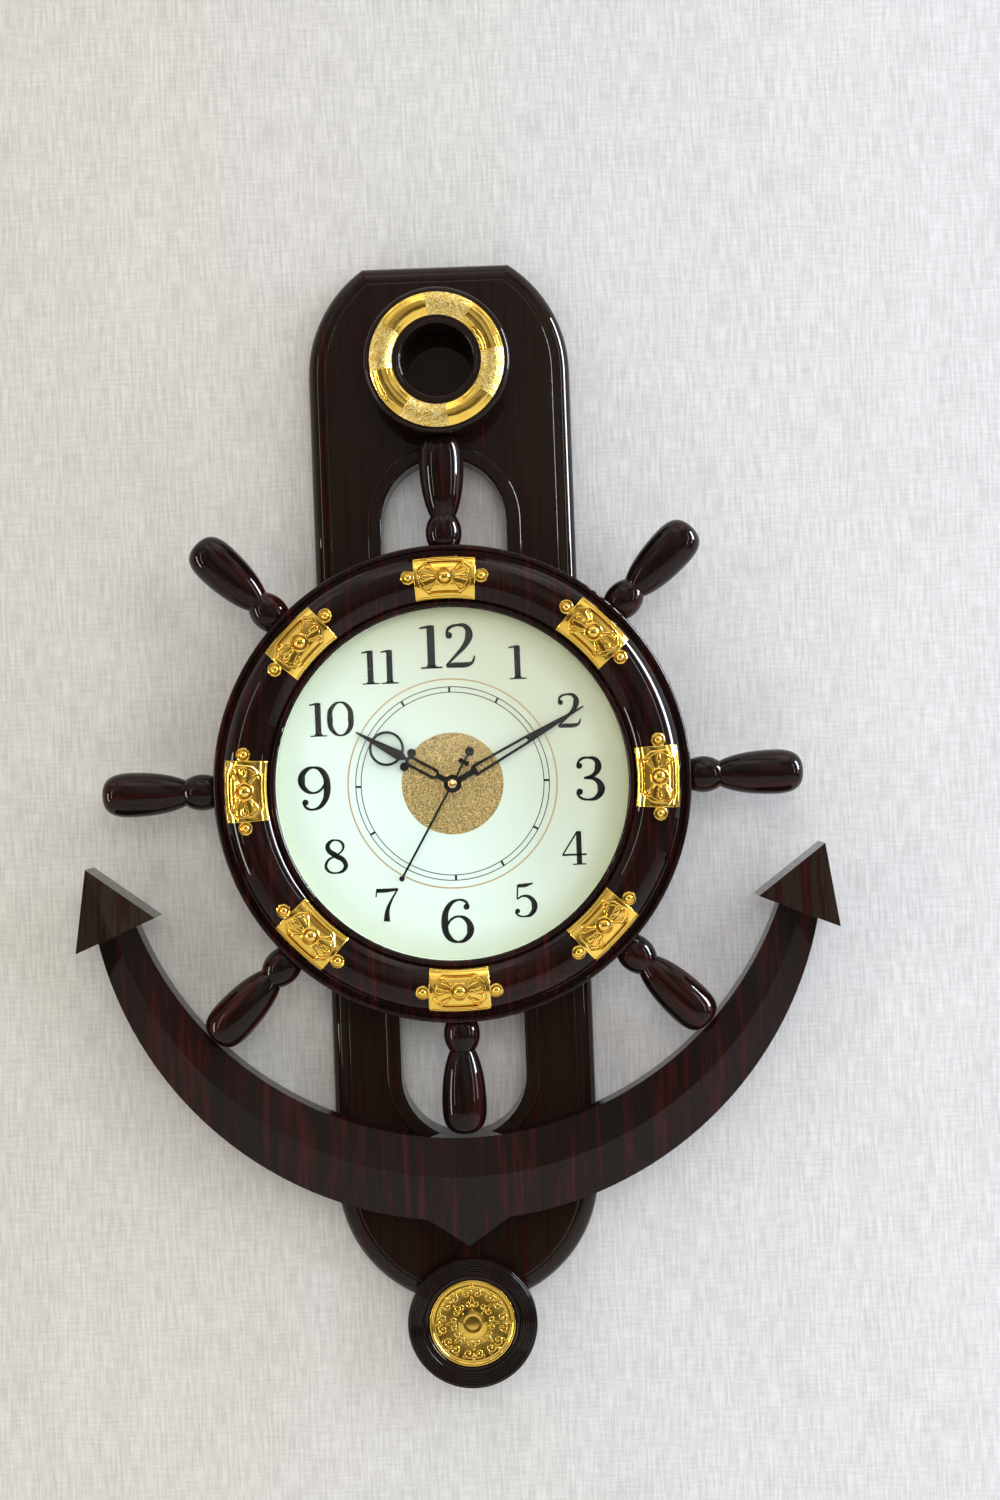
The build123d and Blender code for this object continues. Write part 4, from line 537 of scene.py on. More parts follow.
def ring_gilt(name):
    """Polished gold in four sectors and gold stippled like sugar between them."""
    material, tree, shader = new_finish(name, GOLD, 0.16, 1.0)
    parts = tree.nodes.new("ShaderNodeSeparateXYZ")
    tree.links.new(from_axis(tree, AXIS_RISE + RING_RISE * MM), parts.inputs["Vector"])
    angle = sum_up(tree, "ARCTAN2", parts.outputs["X"], parts.outputs["Z"])
    from_middle = sum_up(tree, "SUBTRACT", angle, math.radians(SECTOR_MIDDLE))
    quarter = sum_up(tree, "MULTIPLY", from_middle, 2 / math.pi)
    nearest = sum_up(tree, "ABSOLUTE", sum_up(tree, "SUBTRACT", quarter, sum_up(tree, "ROUND", quarter)))
    stippled = sum_up(tree, "GREATER_THAN", nearest, SECTOR_HALF / 90)
    grains, tone = specks(tree, 0.55)
    sugar = ramp(tree, tone.outputs["Red"],
                 [(0.1, (0.70, 0.38, 0.05)), (0.5, (1.0, 0.75, 0.20)), (0.95, (1.0, 0.93, 0.52))])
    slow = noise(tree, 220.0, 3.0)
    plain = ramp(tree, slow.outputs["Fac"], [(0.3, (0.95, 0.60, 0.09)), (0.7, (1.0, 0.71, 0.16))])
    colours = tree.nodes.new("ShaderNodeMix")
    colours.data_type = "RGBA"
    tree.links.new(stippled, colours.inputs["Factor"])
    tree.links.new(plain.outputs["Color"], colours.inputs["A"])
    tree.links.new(sugar.outputs["Color"], colours.inputs["B"])
    tree.links.new(colours.outputs["Result"], shader.inputs["Base Color"])
    rough = mix_values(tree, stippled, 0.14, spread(tree, tone.outputs["Green"], 0.25, 0.6))
    tree.links.new(rough, shader.inputs["Roughness"])
    relief = mix_values(tree, stippled, slow.outputs["Fac"], grains.outputs["Distance"])
    bump(tree, shader, relief, 0.00018)
    return material


for slot in nodes["ring_trim"].material_slots:
    slot.material = ring_gilt("ring_gilt")

# %% [markdown]
# Each ornament plate is stamped and plated: a frame with a sunk eight-cornered field, a flower of six
# drop-shaped petals about a domed boss, and a small domed tab at each end. It is modelled once, lying
# flat as if it were at the top of the wheel, from a block with the field cut out of it. Then cuts
# across it give it enough points to bend, and every point is raised onto the crowned rim.

# %% The rim's crown
CROWN = [(91.5, 49.0), (103.5, 54.5), (115.5, 46.5)]


def circle_through(points):
    """Middle and radius of the circle through three points."""
    (ax, ay), (bx, by), (cx, cy) = points
    d = 2 * (ax * (by - cy) + bx * (cy - ay) + cx * (ay - by))
    ux = ((ax**2 + ay**2) * (by - cy) + (bx**2 + by**2) * (cy - ay) + (cx**2 + cy**2) * (ay - by)) / d
    uy = ((ax**2 + ay**2) * (cx - bx) + (bx**2 + by**2) * (ax - cx) + (cx**2 + cy**2) * (bx - ax)) / d
    return ux, uy, math.hypot(ax - ux, ay - uy)


CROWN_ACROSS, CROWN_UP, CROWN_RADIUS = circle_through(CROWN)


def crown_height(reach):
    """Height of the rim's face above the wall at a distance from the hands' axis, in millimetres."""
    return CROWN_UP + math.sqrt(CROWN_RADIUS**2 - (reach - CROWN_ACROSS) ** 2)


print("crown of the rim:", round(crown_height(103.5), 2))

# %% Blank of a plate
PLATE_MIDDLE = 103.2
PLATE_OUTER = 114.0
PLATE_INNER = 92.4
PLATE_HALF_OUTER = 15.75
PLATE_HALF_INNER = 14.7
SKIN = 0.25
BASE_TOP = 0.95
FRAME_TOP = 1.6
OUTLINE_STEPS = 10
FIELD_MARGIN, FIELD_CORNER = 2.3, 4.4
EDGE_ANGLE = 25


def evenly(half):
    """Places from one side to the other of a middle, with the ends."""
    return [-half + 2 * half * step / OUTLINE_STEPS for step in range(OUTLINE_STEPS + 1)]


def plate_outline(margin, corner):
    """Points round the plate, in millimetres, with cut corners."""
    outer, inner = PLATE_OUTER - margin, PLATE_INNER + margin
    half_outer, half_inner = PLATE_HALF_OUTER - margin, PLATE_HALF_INNER - margin
    top = [(x, math.sqrt(outer**2 - x**2)) for x in evenly(half_outer - corner)]
    low = [(x, math.sqrt(inner**2 - x**2)) for x in evenly(corner - half_inner)]
    if corner == 0:
        return top + low
    right = [(half_outer, top[-1][1] - corner), (half_inner, low[0][1] + corner)]
    left = [(-half_inner, low[-1][1] + corner), (-half_outer, top[0][1] - corner)]
    return top + right + low + left


def slab(points, low, high):
    """A flat block with the given outline, in metres."""
    bpy.ops.object.select_all(action="DESELECT")
    bpy.ops.mesh.primitive_circle_add(vertices=len(points), radius=1, fill_type="NGON")
    block = bpy.context.object
    for vertex, (x, y) in zip(block.data.vertices, points):
        vertex.co = (x * MM, y * MM, low * MM)
    return thicken(block, (high - low) * MM)


def apply_modifiers(piece):
    """Makes what a piece's modifiers do part of its mesh."""
    only(piece)
    for modifier in list(piece.modifiers):
        bpy.ops.object.modifier_apply(modifier=modifier.name)
    return piece


def sink(block, cutter):
    """Cuts one block out of another."""
    cut = block.modifiers.new("field", "BOOLEAN")
    cut.operation = "DIFFERENCE"
    cut.object = cutter
    apply_modifiers(block)
    bpy.data.objects.remove(cutter)
    return block


def soften(piece, width, segments=2):
    """Rounds the edges of a piece."""
    edge = piece.modifiers.new("edge", "BEVEL")
    edge.width = width * MM
    edge.segments = segments
    edge.limit_method = "ANGLE"
    edge.angle_limit = math.radians(EDGE_ANGLE)
    return apply_modifiers(piece)


blank = slab(plate_outline(0, 0), SKIN, FRAME_TOP)
blank = sink(blank, slab(plate_outline(FIELD_MARGIN, FIELD_CORNER), BASE_TOP, FRAME_TOP + 2))
blank = soften(blank, 0.35, 3)
print("plate blank:", len(blank.data.polygons), "faces")

# %% Flower, boss and tabs of a plate
PETAL_TURNS = (-40, 0, 40)
PETAL = [(4.9, 0.0), (7.2, 0.55), (9.4, 1.15), (11.2, 1.30), (12.2, 0.0), (11.2, -1.30), (9.4, -1.15),
         (7.2, -0.55)]
PETAL_MIDDLE = 9.3
PETAL_SQUASH = 0.8
TAB_REACH, TAB_RADIUS, TAB_STEPS = 18.3, 3.7, 36
NECK_REACH, NECK_HALF_LENGTH, NECK_HALF_WIDTH = 13.5, 2.5, 2.6


def ball(x, y, z, size):
    """A flattened ball, in millimetres."""
    bpy.ops.object.select_all(action="DESELECT")
    bpy.ops.mesh.primitive_uv_sphere_add(
        segments=24, ring_count=12, radius=1, location=(x * MM, y * MM, z * MM))
    lump = bpy.context.object
    lump.scale = [share * MM for share in size]
    apply_place()
    return lump


def hoop(x, y, z, radius, wire):
    """A thin ring of round wire, in millimetres."""
    bpy.ops.object.select_all(action="DESELECT")
    bpy.ops.mesh.primitive_torus_add(
        major_segments=36, minor_segments=8, major_radius=radius * MM, minor_radius=wire * MM,
        location=(x * MM, y * MM, z * MM))
    return bpy.context.object


def wire_line(points, wire, closed=False, steps=6, handles="AUTO"):
    """A round wire through points in millimetres, as a mesh. VECTOR handles give it corners."""
    bpy.ops.object.select_all(action="DESELECT")
    bpy.ops.curve.primitive_bezier_curve_add()
    line = bpy.context.object
    spline = line.data.splines[0]
    spline.bezier_points.add(len(points) - 2)
    for point, (x, y, z, share) in zip(spline.bezier_points, points):
        point.co = (x * MM, y * MM, z * MM)
        point.radius = share
        point.handle_left_type = point.handle_right_type = handles
    spline.use_cyclic_u = closed
    spline.resolution_u = steps
    line.data.bevel_depth = wire * MM
    line.data.bevel_resolution = 2
    line.data.use_fill_caps = not closed
    bpy.ops.object.convert(target="MESH")
    return bpy.context.object


def petal(turn, side):
    """One drop-shaped petal: a raised edge round a low cushion. The one along the plate is broader."""
    broad = 1.7 if turn == 0 else 1.0
    angle = math.radians(turn)
    loop = []
    for x, y in PETAL:
        along = x * math.cos(angle) - y * broad * math.sin(angle)
        across = x * math.sin(angle) + y * broad * math.cos(angle)
        loop.append((side * along, PLATE_MIDDLE + across * PETAL_SQUASH, BASE_TOP + 0.35, 1.0))
    edge = wire_line(loop, 0.40, closed=True)
    cushion = ball(0, 0, 0, (2.6, 0.75 * broad, 0.45 * broad))
    up = PLATE_MIDDLE + PETAL_SQUASH * PETAL_MIDDLE * math.sin(angle)
    cushion.location = (side * PETAL_MIDDLE * math.cos(angle) * MM, up * MM, BASE_TOP * MM)
    cushion.rotation_euler = (0, 0, side * angle)
    apply_place()
    return [edge, cushion]


def bead_line(margin, corner, height, wire):
    """A bead that runs along the eight sides of the field, as a wire with a corner at every turn."""
    outline = [(x, y, height, 1.0) for x, y in plate_outline(margin, corner)]
    return wire_line(outline, wire, closed=True, steps=2, handles="VECTOR")


details = [ball(0, PLATE_MIDDLE, BASE_TOP + 0.3, (3.0, 3.0, 2.0)),
           hoop(0, PLATE_MIDDLE, BASE_TOP + 0.35, 4.2, 0.55),
           bead_line(0.75, 0, FRAME_TOP, 0.5), bead_line(2.4, FIELD_CORNER, FRAME_TOP + 0.05, 0.42),
           bead_line(3.7, 4.3, BASE_TOP + 0.05, 0.25)]
for side in (-1, 1):
    for turn in PETAL_TURNS:
        details += petal(turn, side)
    angles = [step * math.tau / TAB_STEPS for step in range(TAB_STEPS)]
    tab = slab([(side * TAB_REACH + TAB_RADIUS * math.cos(angle), PLATE_MIDDLE + TAB_RADIUS * math.sin(angle))
                for angle in angles], SKIN, BASE_TOP)
    neck = slab([(side * NECK_REACH + across * NECK_HALF_LENGTH, PLATE_MIDDLE + up * NECK_HALF_WIDTH)
                 for across, up in ((-1, -1), (1, -1), (1, 1), (-1, 1))], SKIN, BASE_TOP + 0.1)
    details += [soften(tab, 0.3), neck, hoop(side * TAB_REACH, PLATE_MIDDLE, BASE_TOP, 3.15, 0.45),
                ball(side * TAB_REACH, PLATE_MIDDLE, BASE_TOP, (2.0, 2.0, 1.6))]
print("details of a plate:", len(details))

# %% Bending the plate onto the rim


def slice_up(piece, pitch, low, high, normal):
    """Cuts through a piece at even steps, so that it can bend."""
    only(piece)
    bpy.ops.object.mode_set(mode="EDIT")
    place = low
    while place <= high:
        bpy.ops.mesh.select_all(action="SELECT")
        bpy.ops.mesh.bisect(plane_co=[share * place * MM for share in normal], plane_no=normal)
        place += pitch
    bpy.ops.object.mode_set(mode="OBJECT")


CROWN_START, CROWN_END = 91.6, 115.4
SLICE_HALF, SLICE_TOP = 14, 113.4
slice_up(blank, 2.0, -SLICE_HALF, SLICE_HALF, (1, 0, 0))
slice_up(blank, 1.4, CROWN_START, SLICE_TOP, (0, 1, 0))
flat_plate = join([blank] + details)
for vertex in flat_plate.data.vertices:
    reach = vertex.co.xy.length / MM
    vertex.co.z += crown_height(min(max(reach, CROWN_START), CROWN_END)) * MM
smooth(flat_plate, 35)
print("a plate has", len(flat_plate.data.polygons), "faces")

# %% [markdown]
# The eight plates are copies of that one, each with its own mesh, turned to its place on the wheel.

# %% Eight plates
plate_gilt = gold_plating("plate_gilt", 0.00002)
for number in range(8):
    plate = settle(turned_copy(flat_plate, number), spot(0, 0, 0))
    finish_with(plate, f"plate_detail_{number + 1}", plate_gilt, "clock")
    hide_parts(f"ornament_plate_{number + 1}")
bpy.data.objects.remove(flat_plate)

# %% [markdown]
# The bob's medallion is a pressed disc with a rounded rim, a groove inside it, a slightly dished field
# and a plain round middle. A profile is spun about its axis, which is how such a disc is also made.

# %% Medallion
BOB_RISE = -275.0
MEDALLION_RIM = 0.8
MEDALLION_FACE = (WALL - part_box("bob_medallion")[0][1]) / MM - MEDALLION_RIM
MEDALLION_PROFILE = [
    (22.2, -1.3), (22.2, 0.15), (21.95, 0.55), (21.5, 0.8), (21.0, 0.8), (20.55, 0.6), (20.3, 0.25),
    (20.1, 0.0), (19.7, -0.12), (19.3, 0.0), (19.0, 0.10), (18.6, 0.0), (17.0, -0.06), (12.0, -0.10),
    (8.0, -0.08), (5.6, 0.0), (5.2, 0.22), (4.8, 0.28), (4.4, 0.12), (4.1, 0.08), (3.0, 0.13), (1.5, 0.17),
    (0.0, 0.18)]


def spun(profile, steps=96):
    """Turns a profile of (radius, height) in millimetres about Z into a closed surface."""
    bpy.ops.object.select_all(action="DESELECT")
    bpy.ops.mesh.primitive_circle_add(vertices=len(profile), radius=1, fill_type="NOTHING")
    turned = bpy.context.object
    for vertex, (radius, height) in zip(turned.data.vertices, profile):
        vertex.co = (radius * MM, 0, height * MM)
    bpy.ops.object.mode_set(mode="EDIT")
    bpy.ops.mesh.select_all(action="DESELECT")
    bpy.ops.object.mode_set(mode="OBJECT")
    for edge in turned.data.edges:
        edge.select = set(edge.vertices) == {0, len(profile) - 1}
    bpy.ops.object.mode_set(mode="EDIT")
    bpy.ops.mesh.delete(type="EDGE")
    bpy.ops.mesh.select_all(action="SELECT")
    bpy.ops.mesh.spin(steps=steps, angle=math.tau, center=(0, 0, 0), axis=(0, 0, 1))
    bpy.ops.mesh.select_all(action="SELECT")
    bpy.ops.mesh.remove_doubles(threshold=0.00001)
    bpy.ops.mesh.select_all(action="SELECT")
    bpy.ops.mesh.fill_holes(sides=0)
    bpy.ops.mesh.select_all(action="SELECT")
    bpy.ops.mesh.normals_make_consistent(inside=False)
    bpy.ops.object.mode_set(mode="OBJECT")
    return turned


disc = settle(spun(MEDALLION_PROFILE), spot(0, BOB_RISE, MEDALLION_FACE))
smooth(disc, 50)
medallion_gilt = gold_plating("medallion_gilt", 0.00003, 0.84)
finish_with(disc, "medallion_disc", medallion_gilt, "pendulum")
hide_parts("bob_medallion")
print("medallion:", len(disc.data.polygons), "faces")

# %% [markdown]
# The bob round the medallion is turned wood in looks, with five fine beads. It is spun from a profile
# too, so that the beads are truly round and each one carries its own thin highlight.

# %% Bob
BEAD_START = 25.5
BEAD_PITCH = 1.3
BEAD_COUNT = 5
BEAD_STEPS = 6
bob_profile = [(0.0, -1.35), (22.3, -1.35), (22.3, 0.1), (22.6, 0.65), (23.2, 1.15), (24.1, 1.42),
               (25.1, 1.4)]
for bead in range(BEAD_COUNT):
    middle = BEAD_START + BEAD_PITCH * (bead + 0.5)
    for step in range(BEAD_STEPS + 1):
        angle = math.radians(172 - step * 164 / BEAD_STEPS)
        bob_profile.append((middle + 0.65 * math.cos(angle), 1.02 + 0.76 * math.sin(angle)))
bob_profile += [(32.5, 1.1), (32.8, 0.8), (33.0, 0.3), (33.0, -7.2), (32.7, -7.55), (31.2, -7.55),
                (31.0, -7.3), (31.0, -3.35), (0.0, -3.35)]
bob = settle(spun(bob_profile, 144), spot(0, BOB_RISE, MEDALLION_FACE))
smooth(bob, 50)
bob_lacquer = rosewood("bob_lacquer", dullness=0.06)
finish_with(bob, "turned_bob", bob_lacquer, "pendulum")
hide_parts("pendulum_bob")
print("bob:", len(bob.data.polygons), "faces")

# %% [markdown]
# The field is covered in scrollwork: pairs of curling tendrils set round the plain middle. One sprig is
# drawn with thin wires that run in spirals, and eight copies are set round the medallion.

# %% Scrolls on the medallion


def curl(x, y, start, turns, size, wire, flip=1):
    """A wire that winds in to a point, from an angle in degrees."""
    points = []
    count = max(5, int(turns * 9))
    for step in range(count + 1):
        share = step / count
        angle = math.radians(start + flip * 360 * turns * share)
        radius = size * (1 - 0.82 * share)
        points.append((x + radius * math.cos(angle), y + radius * math.sin(angle), 0, 1.0 - 0.35 * share))
    return wire_line(points, wire, steps=3)


def sprig():
    """Tendrils, curls and beads of one eighth, above the origin."""
    parts = []
    for side in (-1, 1):
        start = 180 if side > 0 else 0
        parts.append(curl(side * 2.6, 15.2, start, 1.3, 2.7, 0.5, -side))
        parts.append(curl(side * 1.9, 10.0, -start, 1.1, 1.8, 0.42, side))
        parts.append(curl(side * 4.7, 17.2, 200 if side > 0 else -20, 0.9, 1.25, 0.32, side))
        parts.append(ball(side * 2.5, 15.4, 0, (0.62, 0.62, 0.5)))
        parts.append(wire_line([(side * 0.3, 8.2, 0, 0.7), (side * 1.1, 9.6, 0, 1), (side * 0.5, 12.2, 0, 1),
                                (side * 0.2, 14.0, 0, 0.8)], 0.28, steps=4))
    parts.append(ball(0, 18.4, 0, (0.8, 1.2, 0.55)))
    parts.append(ball(0, 7.0, 0, (0.55, 0.55, 0.45)))
    return join(parts)


one_sprig = sprig()
for number in range(8):
    scroll = settle(turned_copy(one_sprig, number), spot(0, BOB_RISE, MEDALLION_FACE))
    smooth(scroll)
    finish_with(scroll, f"medallion_scroll_{number + 1}", medallion_gilt, "pendulum")
bpy.data.objects.remove(one_sprig)

# %% [markdown]
# The print on the dial stands a hair above the sheet, as thick ink does. The tan disc in the middle
# is full of glitter: a cell pattern gives each speck its own brightness and roughness.

# %% Glitter


def glitter(name, colour, speck):
    """A finish of fine specks that each catch the light in their own way."""
    material, tree, shader = new_finish(name, colour, 0.4, 0.55)
    tone = specks(tree, speck)[1]
    dark = tuple(share * 0.42 for share in colour)
    light = tuple(min(1.0, share * 1.65 + 0.08) for share in colour)
    colours = ramp(tree, tone.outputs["Red"], [(0.15, dark), (0.55, colour), (0.95, light)])
    tree.links.new(colours.outputs["Color"], shader.inputs["Base Color"])
    tree.links.new(spread(tree, tone.outputs["Green"], 0.22, 0.60), shader.inputs["Roughness"])
    bump(tree, shader, tone.outputs["Blue"], 0.00001)
    return material


tan_glitter = glitter("tan_glitter", (0.34, 0.24, 0.085), 0.38)
ink = grained("ink", (0.007, 0.009, 0.008), 0.30, 0.42, 1500, shine=0.12)
tan_ink = grained("tan_ink", (0.42, 0.31, 0.15), 0.34, 0.46, 1500)

# %% Discs and circles on the dial
SHEET_FRONT = 39.4
INK_HEIGHT = 0.06


def printed_disc(name, radius, material):
    """A thin round patch on the dial sheet."""
    bpy.ops.object.select_all(action="DESELECT")
    bpy.ops.mesh.primitive_cylinder_add(vertices=128, radius=radius * MM, depth=INK_HEIGHT * MM)
    piece = bpy.context.object
    settle(piece, spot(0, 0, SHEET_FRONT + INK_HEIGHT / 2))
    return finish_with(piece, name, material, "clock")


def printed_circle(name, radius, width, material):
    """A thin printed line round the hands' axis: a flat disc whose middle is cut out by an inset."""
    bpy.ops.object.select_all(action="DESELECT")
    bpy.ops.mesh.primitive_circle_add(vertices=192, radius=(radius + width / 2) * MM, fill_type="NGON")
    piece = bpy.context.object
    bpy.ops.object.mode_set(mode="EDIT")
    bpy.ops.mesh.select_all(action="SELECT")
    bpy.ops.mesh.inset(thickness=width * MM)
    bpy.ops.mesh.delete(type="FACE")
    bpy.ops.object.mode_set(mode="OBJECT")
    settle(thicken(piece, INK_HEIGHT * MM), spot(0, 0, SHEET_FRONT))
    return finish_with(piece, name, material, "clock")


DISC_RADIUS = 25.7
OUTER_LINE, MIDDLE_LINE, INNER_LINE = 52.7, 48.8, 46.1
BROAD_LINE, FINE_LINE = 0.75, 0.42
printed_disc("dial_centre", DISC_RADIUS, tan_glitter)
printed_circle("dial_line_outer", OUTER_LINE, BROAD_LINE, tan_ink)
printed_circle("dial_line_middle", MIDDLE_LINE, FINE_LINE, ink)
printed_circle("dial_line_inner", INNER_LINE, FINE_LINE, ink)

# %% [markdown]
# Twelve short ticks stand between the two thin lines. Each is a small block, made in turn and set round the
# axis.

# %% Ticks
TICK_LENGTH = 3.0
TICK_WIDTH = 1.1
TICK_REACH = 47.45
for number in range(12):
    bpy.ops.object.select_all(action="DESELECT")
    bpy.ops.mesh.primitive_cube_add(size=1)
    tick = bpy.context.object
    tick.scale = (TICK_WIDTH * MM, TICK_LENGTH * MM, INK_HEIGHT * MM)
    turn = math.radians(number * 30)
    tick.location = (TICK_REACH * MM * math.sin(turn), TICK_REACH * MM * math.cos(turn), 0)
    tick.rotation_euler = (0, 0, -turn)
    apply_place()
    settle(tick, spot(0, 0, SHEET_FRONT + INK_HEIGHT))
    finish_with(tick, f"dial_tick_{number + 1}", ink, "clock")

# %% [markdown]
# The figures are drawn with a broad pen: each stroke is a smooth curve whose points carry the pen's
# half width. A curve that is extruded and tilted by a right angle becomes a flat ribbon, and the
# radius of each point makes the ribbon swell and thin, as in a bookish serif face.

# %% Strokes of the figures
# Each stroke lists (across, up, half width) in shares of the figure's height. Dots are round ends.
STROKES = {
    "0": [("closed", [(0.36, 0.985, 0.022), (0.62, 0.80, 0.062), (0.665, 0.5, 0.080), (0.62, 0.2, 0.062),
                      (0.36, 0.015, 0.022), (0.10, 0.2, 0.062), (0.055, 0.5, 0.080), (0.10, 0.8, 0.062)])],
    "1": [("line", [(0.27, 0.985, 0.080), (0.27, 0.02, 0.080)]),
          ("line", [(0.30, 0.985, 0.018), (0.17, 0.955, 0.028), (0.02, 0.93, 0.018)]),
          ("line", [(0.03, 0.018, 0.018), (0.52, 0.018, 0.018)]),
          ("line", [(0.15, 0.045, 0.020), (0.27, 0.06, 0.045), (0.39, 0.045, 0.020)])],
    "2": [("dot", (0.125, 0.745, 0.078)),
          ("line", [(0.065, 0.76, 0.020), (0.12, 0.90, 0.036), (0.33, 0.975, 0.026), (0.53, 0.92, 0.055),
                    (0.585, 0.74, 0.082), (0.50, 0.53, 0.058), (0.28, 0.29, 0.034), (0.04, 0.05, 0.022)]),
          ("line", [(0.05, 0.045, 0.040), (0.25, 0.062, 0.058), (0.50, 0.060, 0.056), (0.64, 0.11, 0.030),
                    (0.70, 0.26, 0.014)])],
    "3": [("dot", (0.135, 0.80, 0.070)),
          ("line", [(0.085, 0.83, 0.020), (0.17, 0.945, 0.030), (0.34, 0.98, 0.022), (0.52, 0.92, 0.052),
                    (0.565, 0.76, 0.074), (0.47, 0.59, 0.045), (0.23, 0.515, 0.018)]),
          ("line", [(0.23, 0.515, 0.018), (0.50, 0.475, 0.045), (0.62, 0.27, 0.082), (0.53, 0.08, 0.055),
                    (0.33, 0.018, 0.022), (0.14, 0.07, 0.028), (0.055, 0.19, 0.022)]),
          ("dot", (0.125, 0.205, 0.074))],
    "4": [("line", [(0.47, 0.97, 0.022), (0.04, 0.32, 0.020)]),
          ("line", [(0.02, 0.30, 0.026), (0.73, 0.30, 0.026)]),
          ("line", [(0.515, 0.985, 0.070), (0.515, 0.02, 0.070)]),
          ("line", [(0.32, 0.018, 0.018), (0.71, 0.018, 0.018)])],
    "5": [("line", [(0.155, 0.92, 0.045), (0.36, 0.93, 0.052), (0.60, 0.985, 0.018)]),
          ("line", [(0.15, 0.95, 0.020), (0.125, 0.53, 0.020)]),
          ("line", [(0.125, 0.53, 0.018), (0.30, 0.62, 0.028), (0.52, 0.55, 0.055), (0.625, 0.33, 0.082),
                    (0.53, 0.09, 0.055), (0.33, 0.018, 0.022), (0.14, 0.06, 0.028), (0.055, 0.16, 0.022)]),
          ("dot", (0.125, 0.185, 0.072))],
    "6": [("dot", (0.585, 0.815, 0.070)),
          ("line", [(0.635, 0.84, 0.020), (0.56, 0.94, 0.030), (0.40, 0.98, 0.022), (0.19, 0.86, 0.050),
                    (0.075, 0.48, 0.076), (0.16, 0.13, 0.060), (0.37, 0.018, 0.022), (0.585, 0.11, 0.055),
                    (0.66, 0.30, 0.078), (0.585, 0.51, 0.052), (0.40, 0.60, 0.022), (0.23, 0.54, 0.026),
                    (0.13, 0.40, 0.020)])],
    "7": [("line", [(0.035, 0.925, 0.055), (0.30, 0.925, 0.055), (0.66, 0.95, 0.035)]),
          ("line", [(0.055, 0.975, 0.018), (0.020, 0.74, 0.018)]),
          ("line", [(0.675, 0.965, 0.020), (0.47, 0.64, 0.030), (0.345, 0.34, 0.055),
                    (0.315, 0.015, 0.088)])],
    "8": [("closed", [(0.36, 0.98, 0.022), (0.175, 0.90, 0.050), (0.135, 0.74, 0.066), (0.36, 0.53, 0.074),
                      (0.60, 0.36, 0.066), (0.63, 0.16, 0.056), (0.36, 0.018, 0.022), (0.085, 0.14, 0.040),
                      (0.105, 0.36, 0.036), (0.36, 0.53, 0.022), (0.56, 0.68, 0.026), (0.575, 0.86, 0.040)])],
}
STROKES["9"] = []
for kind, points in STROKES["6"]:
    turned = [(0.72 - x, 1 - y, pen) for x, y, pen in ([points] if kind == "dot" else points)]
    STROKES["9"].append((kind, turned[0] if kind == "dot" else turned))
FIGURE_WIDTHS = {digit: 0.74 for digit in "023456789"}
FIGURE_WIDTHS["1"] = 0.52
FIGURE_GAP = 0.045
PEN_SHARE = 1.1


def pen_stroke(kind, points, left, height):
    """One stroke of a figure, flat on the XY plane, as a flat mesh."""
    bpy.ops.object.select_all(action="DESELECT")
    if kind == "dot":
        x, y, radius = points
        bpy.ops.mesh.primitive_circle_add(
            vertices=32, radius=radius * height, fill_type="NGON",
            location=(left + x * height, y * height, 0))
        return bpy.context.object
    bpy.ops.curve.primitive_bezier_curve_add()
    stroke = bpy.context.object
    curve = stroke.data
    spline = curve.splines[0]
    spline.bezier_points.add(len(points) - 2)
    for point, (x, y, pen) in zip(spline.bezier_points, points):
        point.co = (left + x * height, y * height, 0)
        point.radius = pen * PEN_SHARE
        point.tilt = math.radians(90)
        point.handle_left_type = point.handle_right_type = "AUTO"
    spline.use_cyclic_u = kind == "closed"
    spline.resolution_u = 10
    curve.twist_mode = "Z_UP"
    curve.extrude = height
    bpy.ops.object.convert(target="MESH")
    return bpy.context.object


def figure(label, height):
    """A whole figure, such as 12, centred on the origin."""
    width = sum(FIGURE_WIDTHS[digit] for digit in label) + FIGURE_GAP * (len(label) - 1)
    left = -width / 2 * height
    strokes = []
    for digit in label:
        for kind, points in STROKES[digit]:
            strokes.append(pen_stroke(kind, points, left, height))
        left += (FIGURE_WIDTHS[digit] + FIGURE_GAP) * height
    whole = join(strokes)
    whole.location.y -= height / 2
    apply_place()
    return thicken(whole, INK_HEIGHT * MM)


# %% Figures round the dial
FIGURE_REACH = 69.3
QUARTER_HEIGHT, HOUR_HEIGHT = 22.0, 17.2
for hour in range(1, 13):
    tall = QUARTER_HEIGHT if hour % 3 == 0 else HOUR_HEIGHT
    figure_piece = figure(str(hour), tall * MM)
    turn = math.radians(30 * hour)
    settle(figure_piece, spot(FIGURE_REACH * math.sin(turn), FIGURE_REACH * math.cos(turn), SHEET_FRONT))
    finish_with(figure_piece, f"dial_figure_{hour}", ink, "clock")
print("the last figure has", len(figure_piece.data.polygons), "faces")

# %% [markdown]
# Two small turned pieces finish the front: a domed brass cap on the hub of the hands, which turns with
# the second hand, and a rounded lacquered lip round the bore of the ring.

# %% Hub cap and ring lip
HUB_FACE = 44.9
CAP_PROFILE = [(0.0, 0.42), (0.8, 0.38), (1.5, 0.27), (2.0, 0.12), (2.2, 0.0), (2.2, -0.15), (0.0, -0.15)]
cap = spun(CAP_PROFILE, 48)
settle(cap, spot(0, 0, HUB_FACE))
smooth(cap, 50)
finish_with(cap, "hub_cap", brass, "seconds")

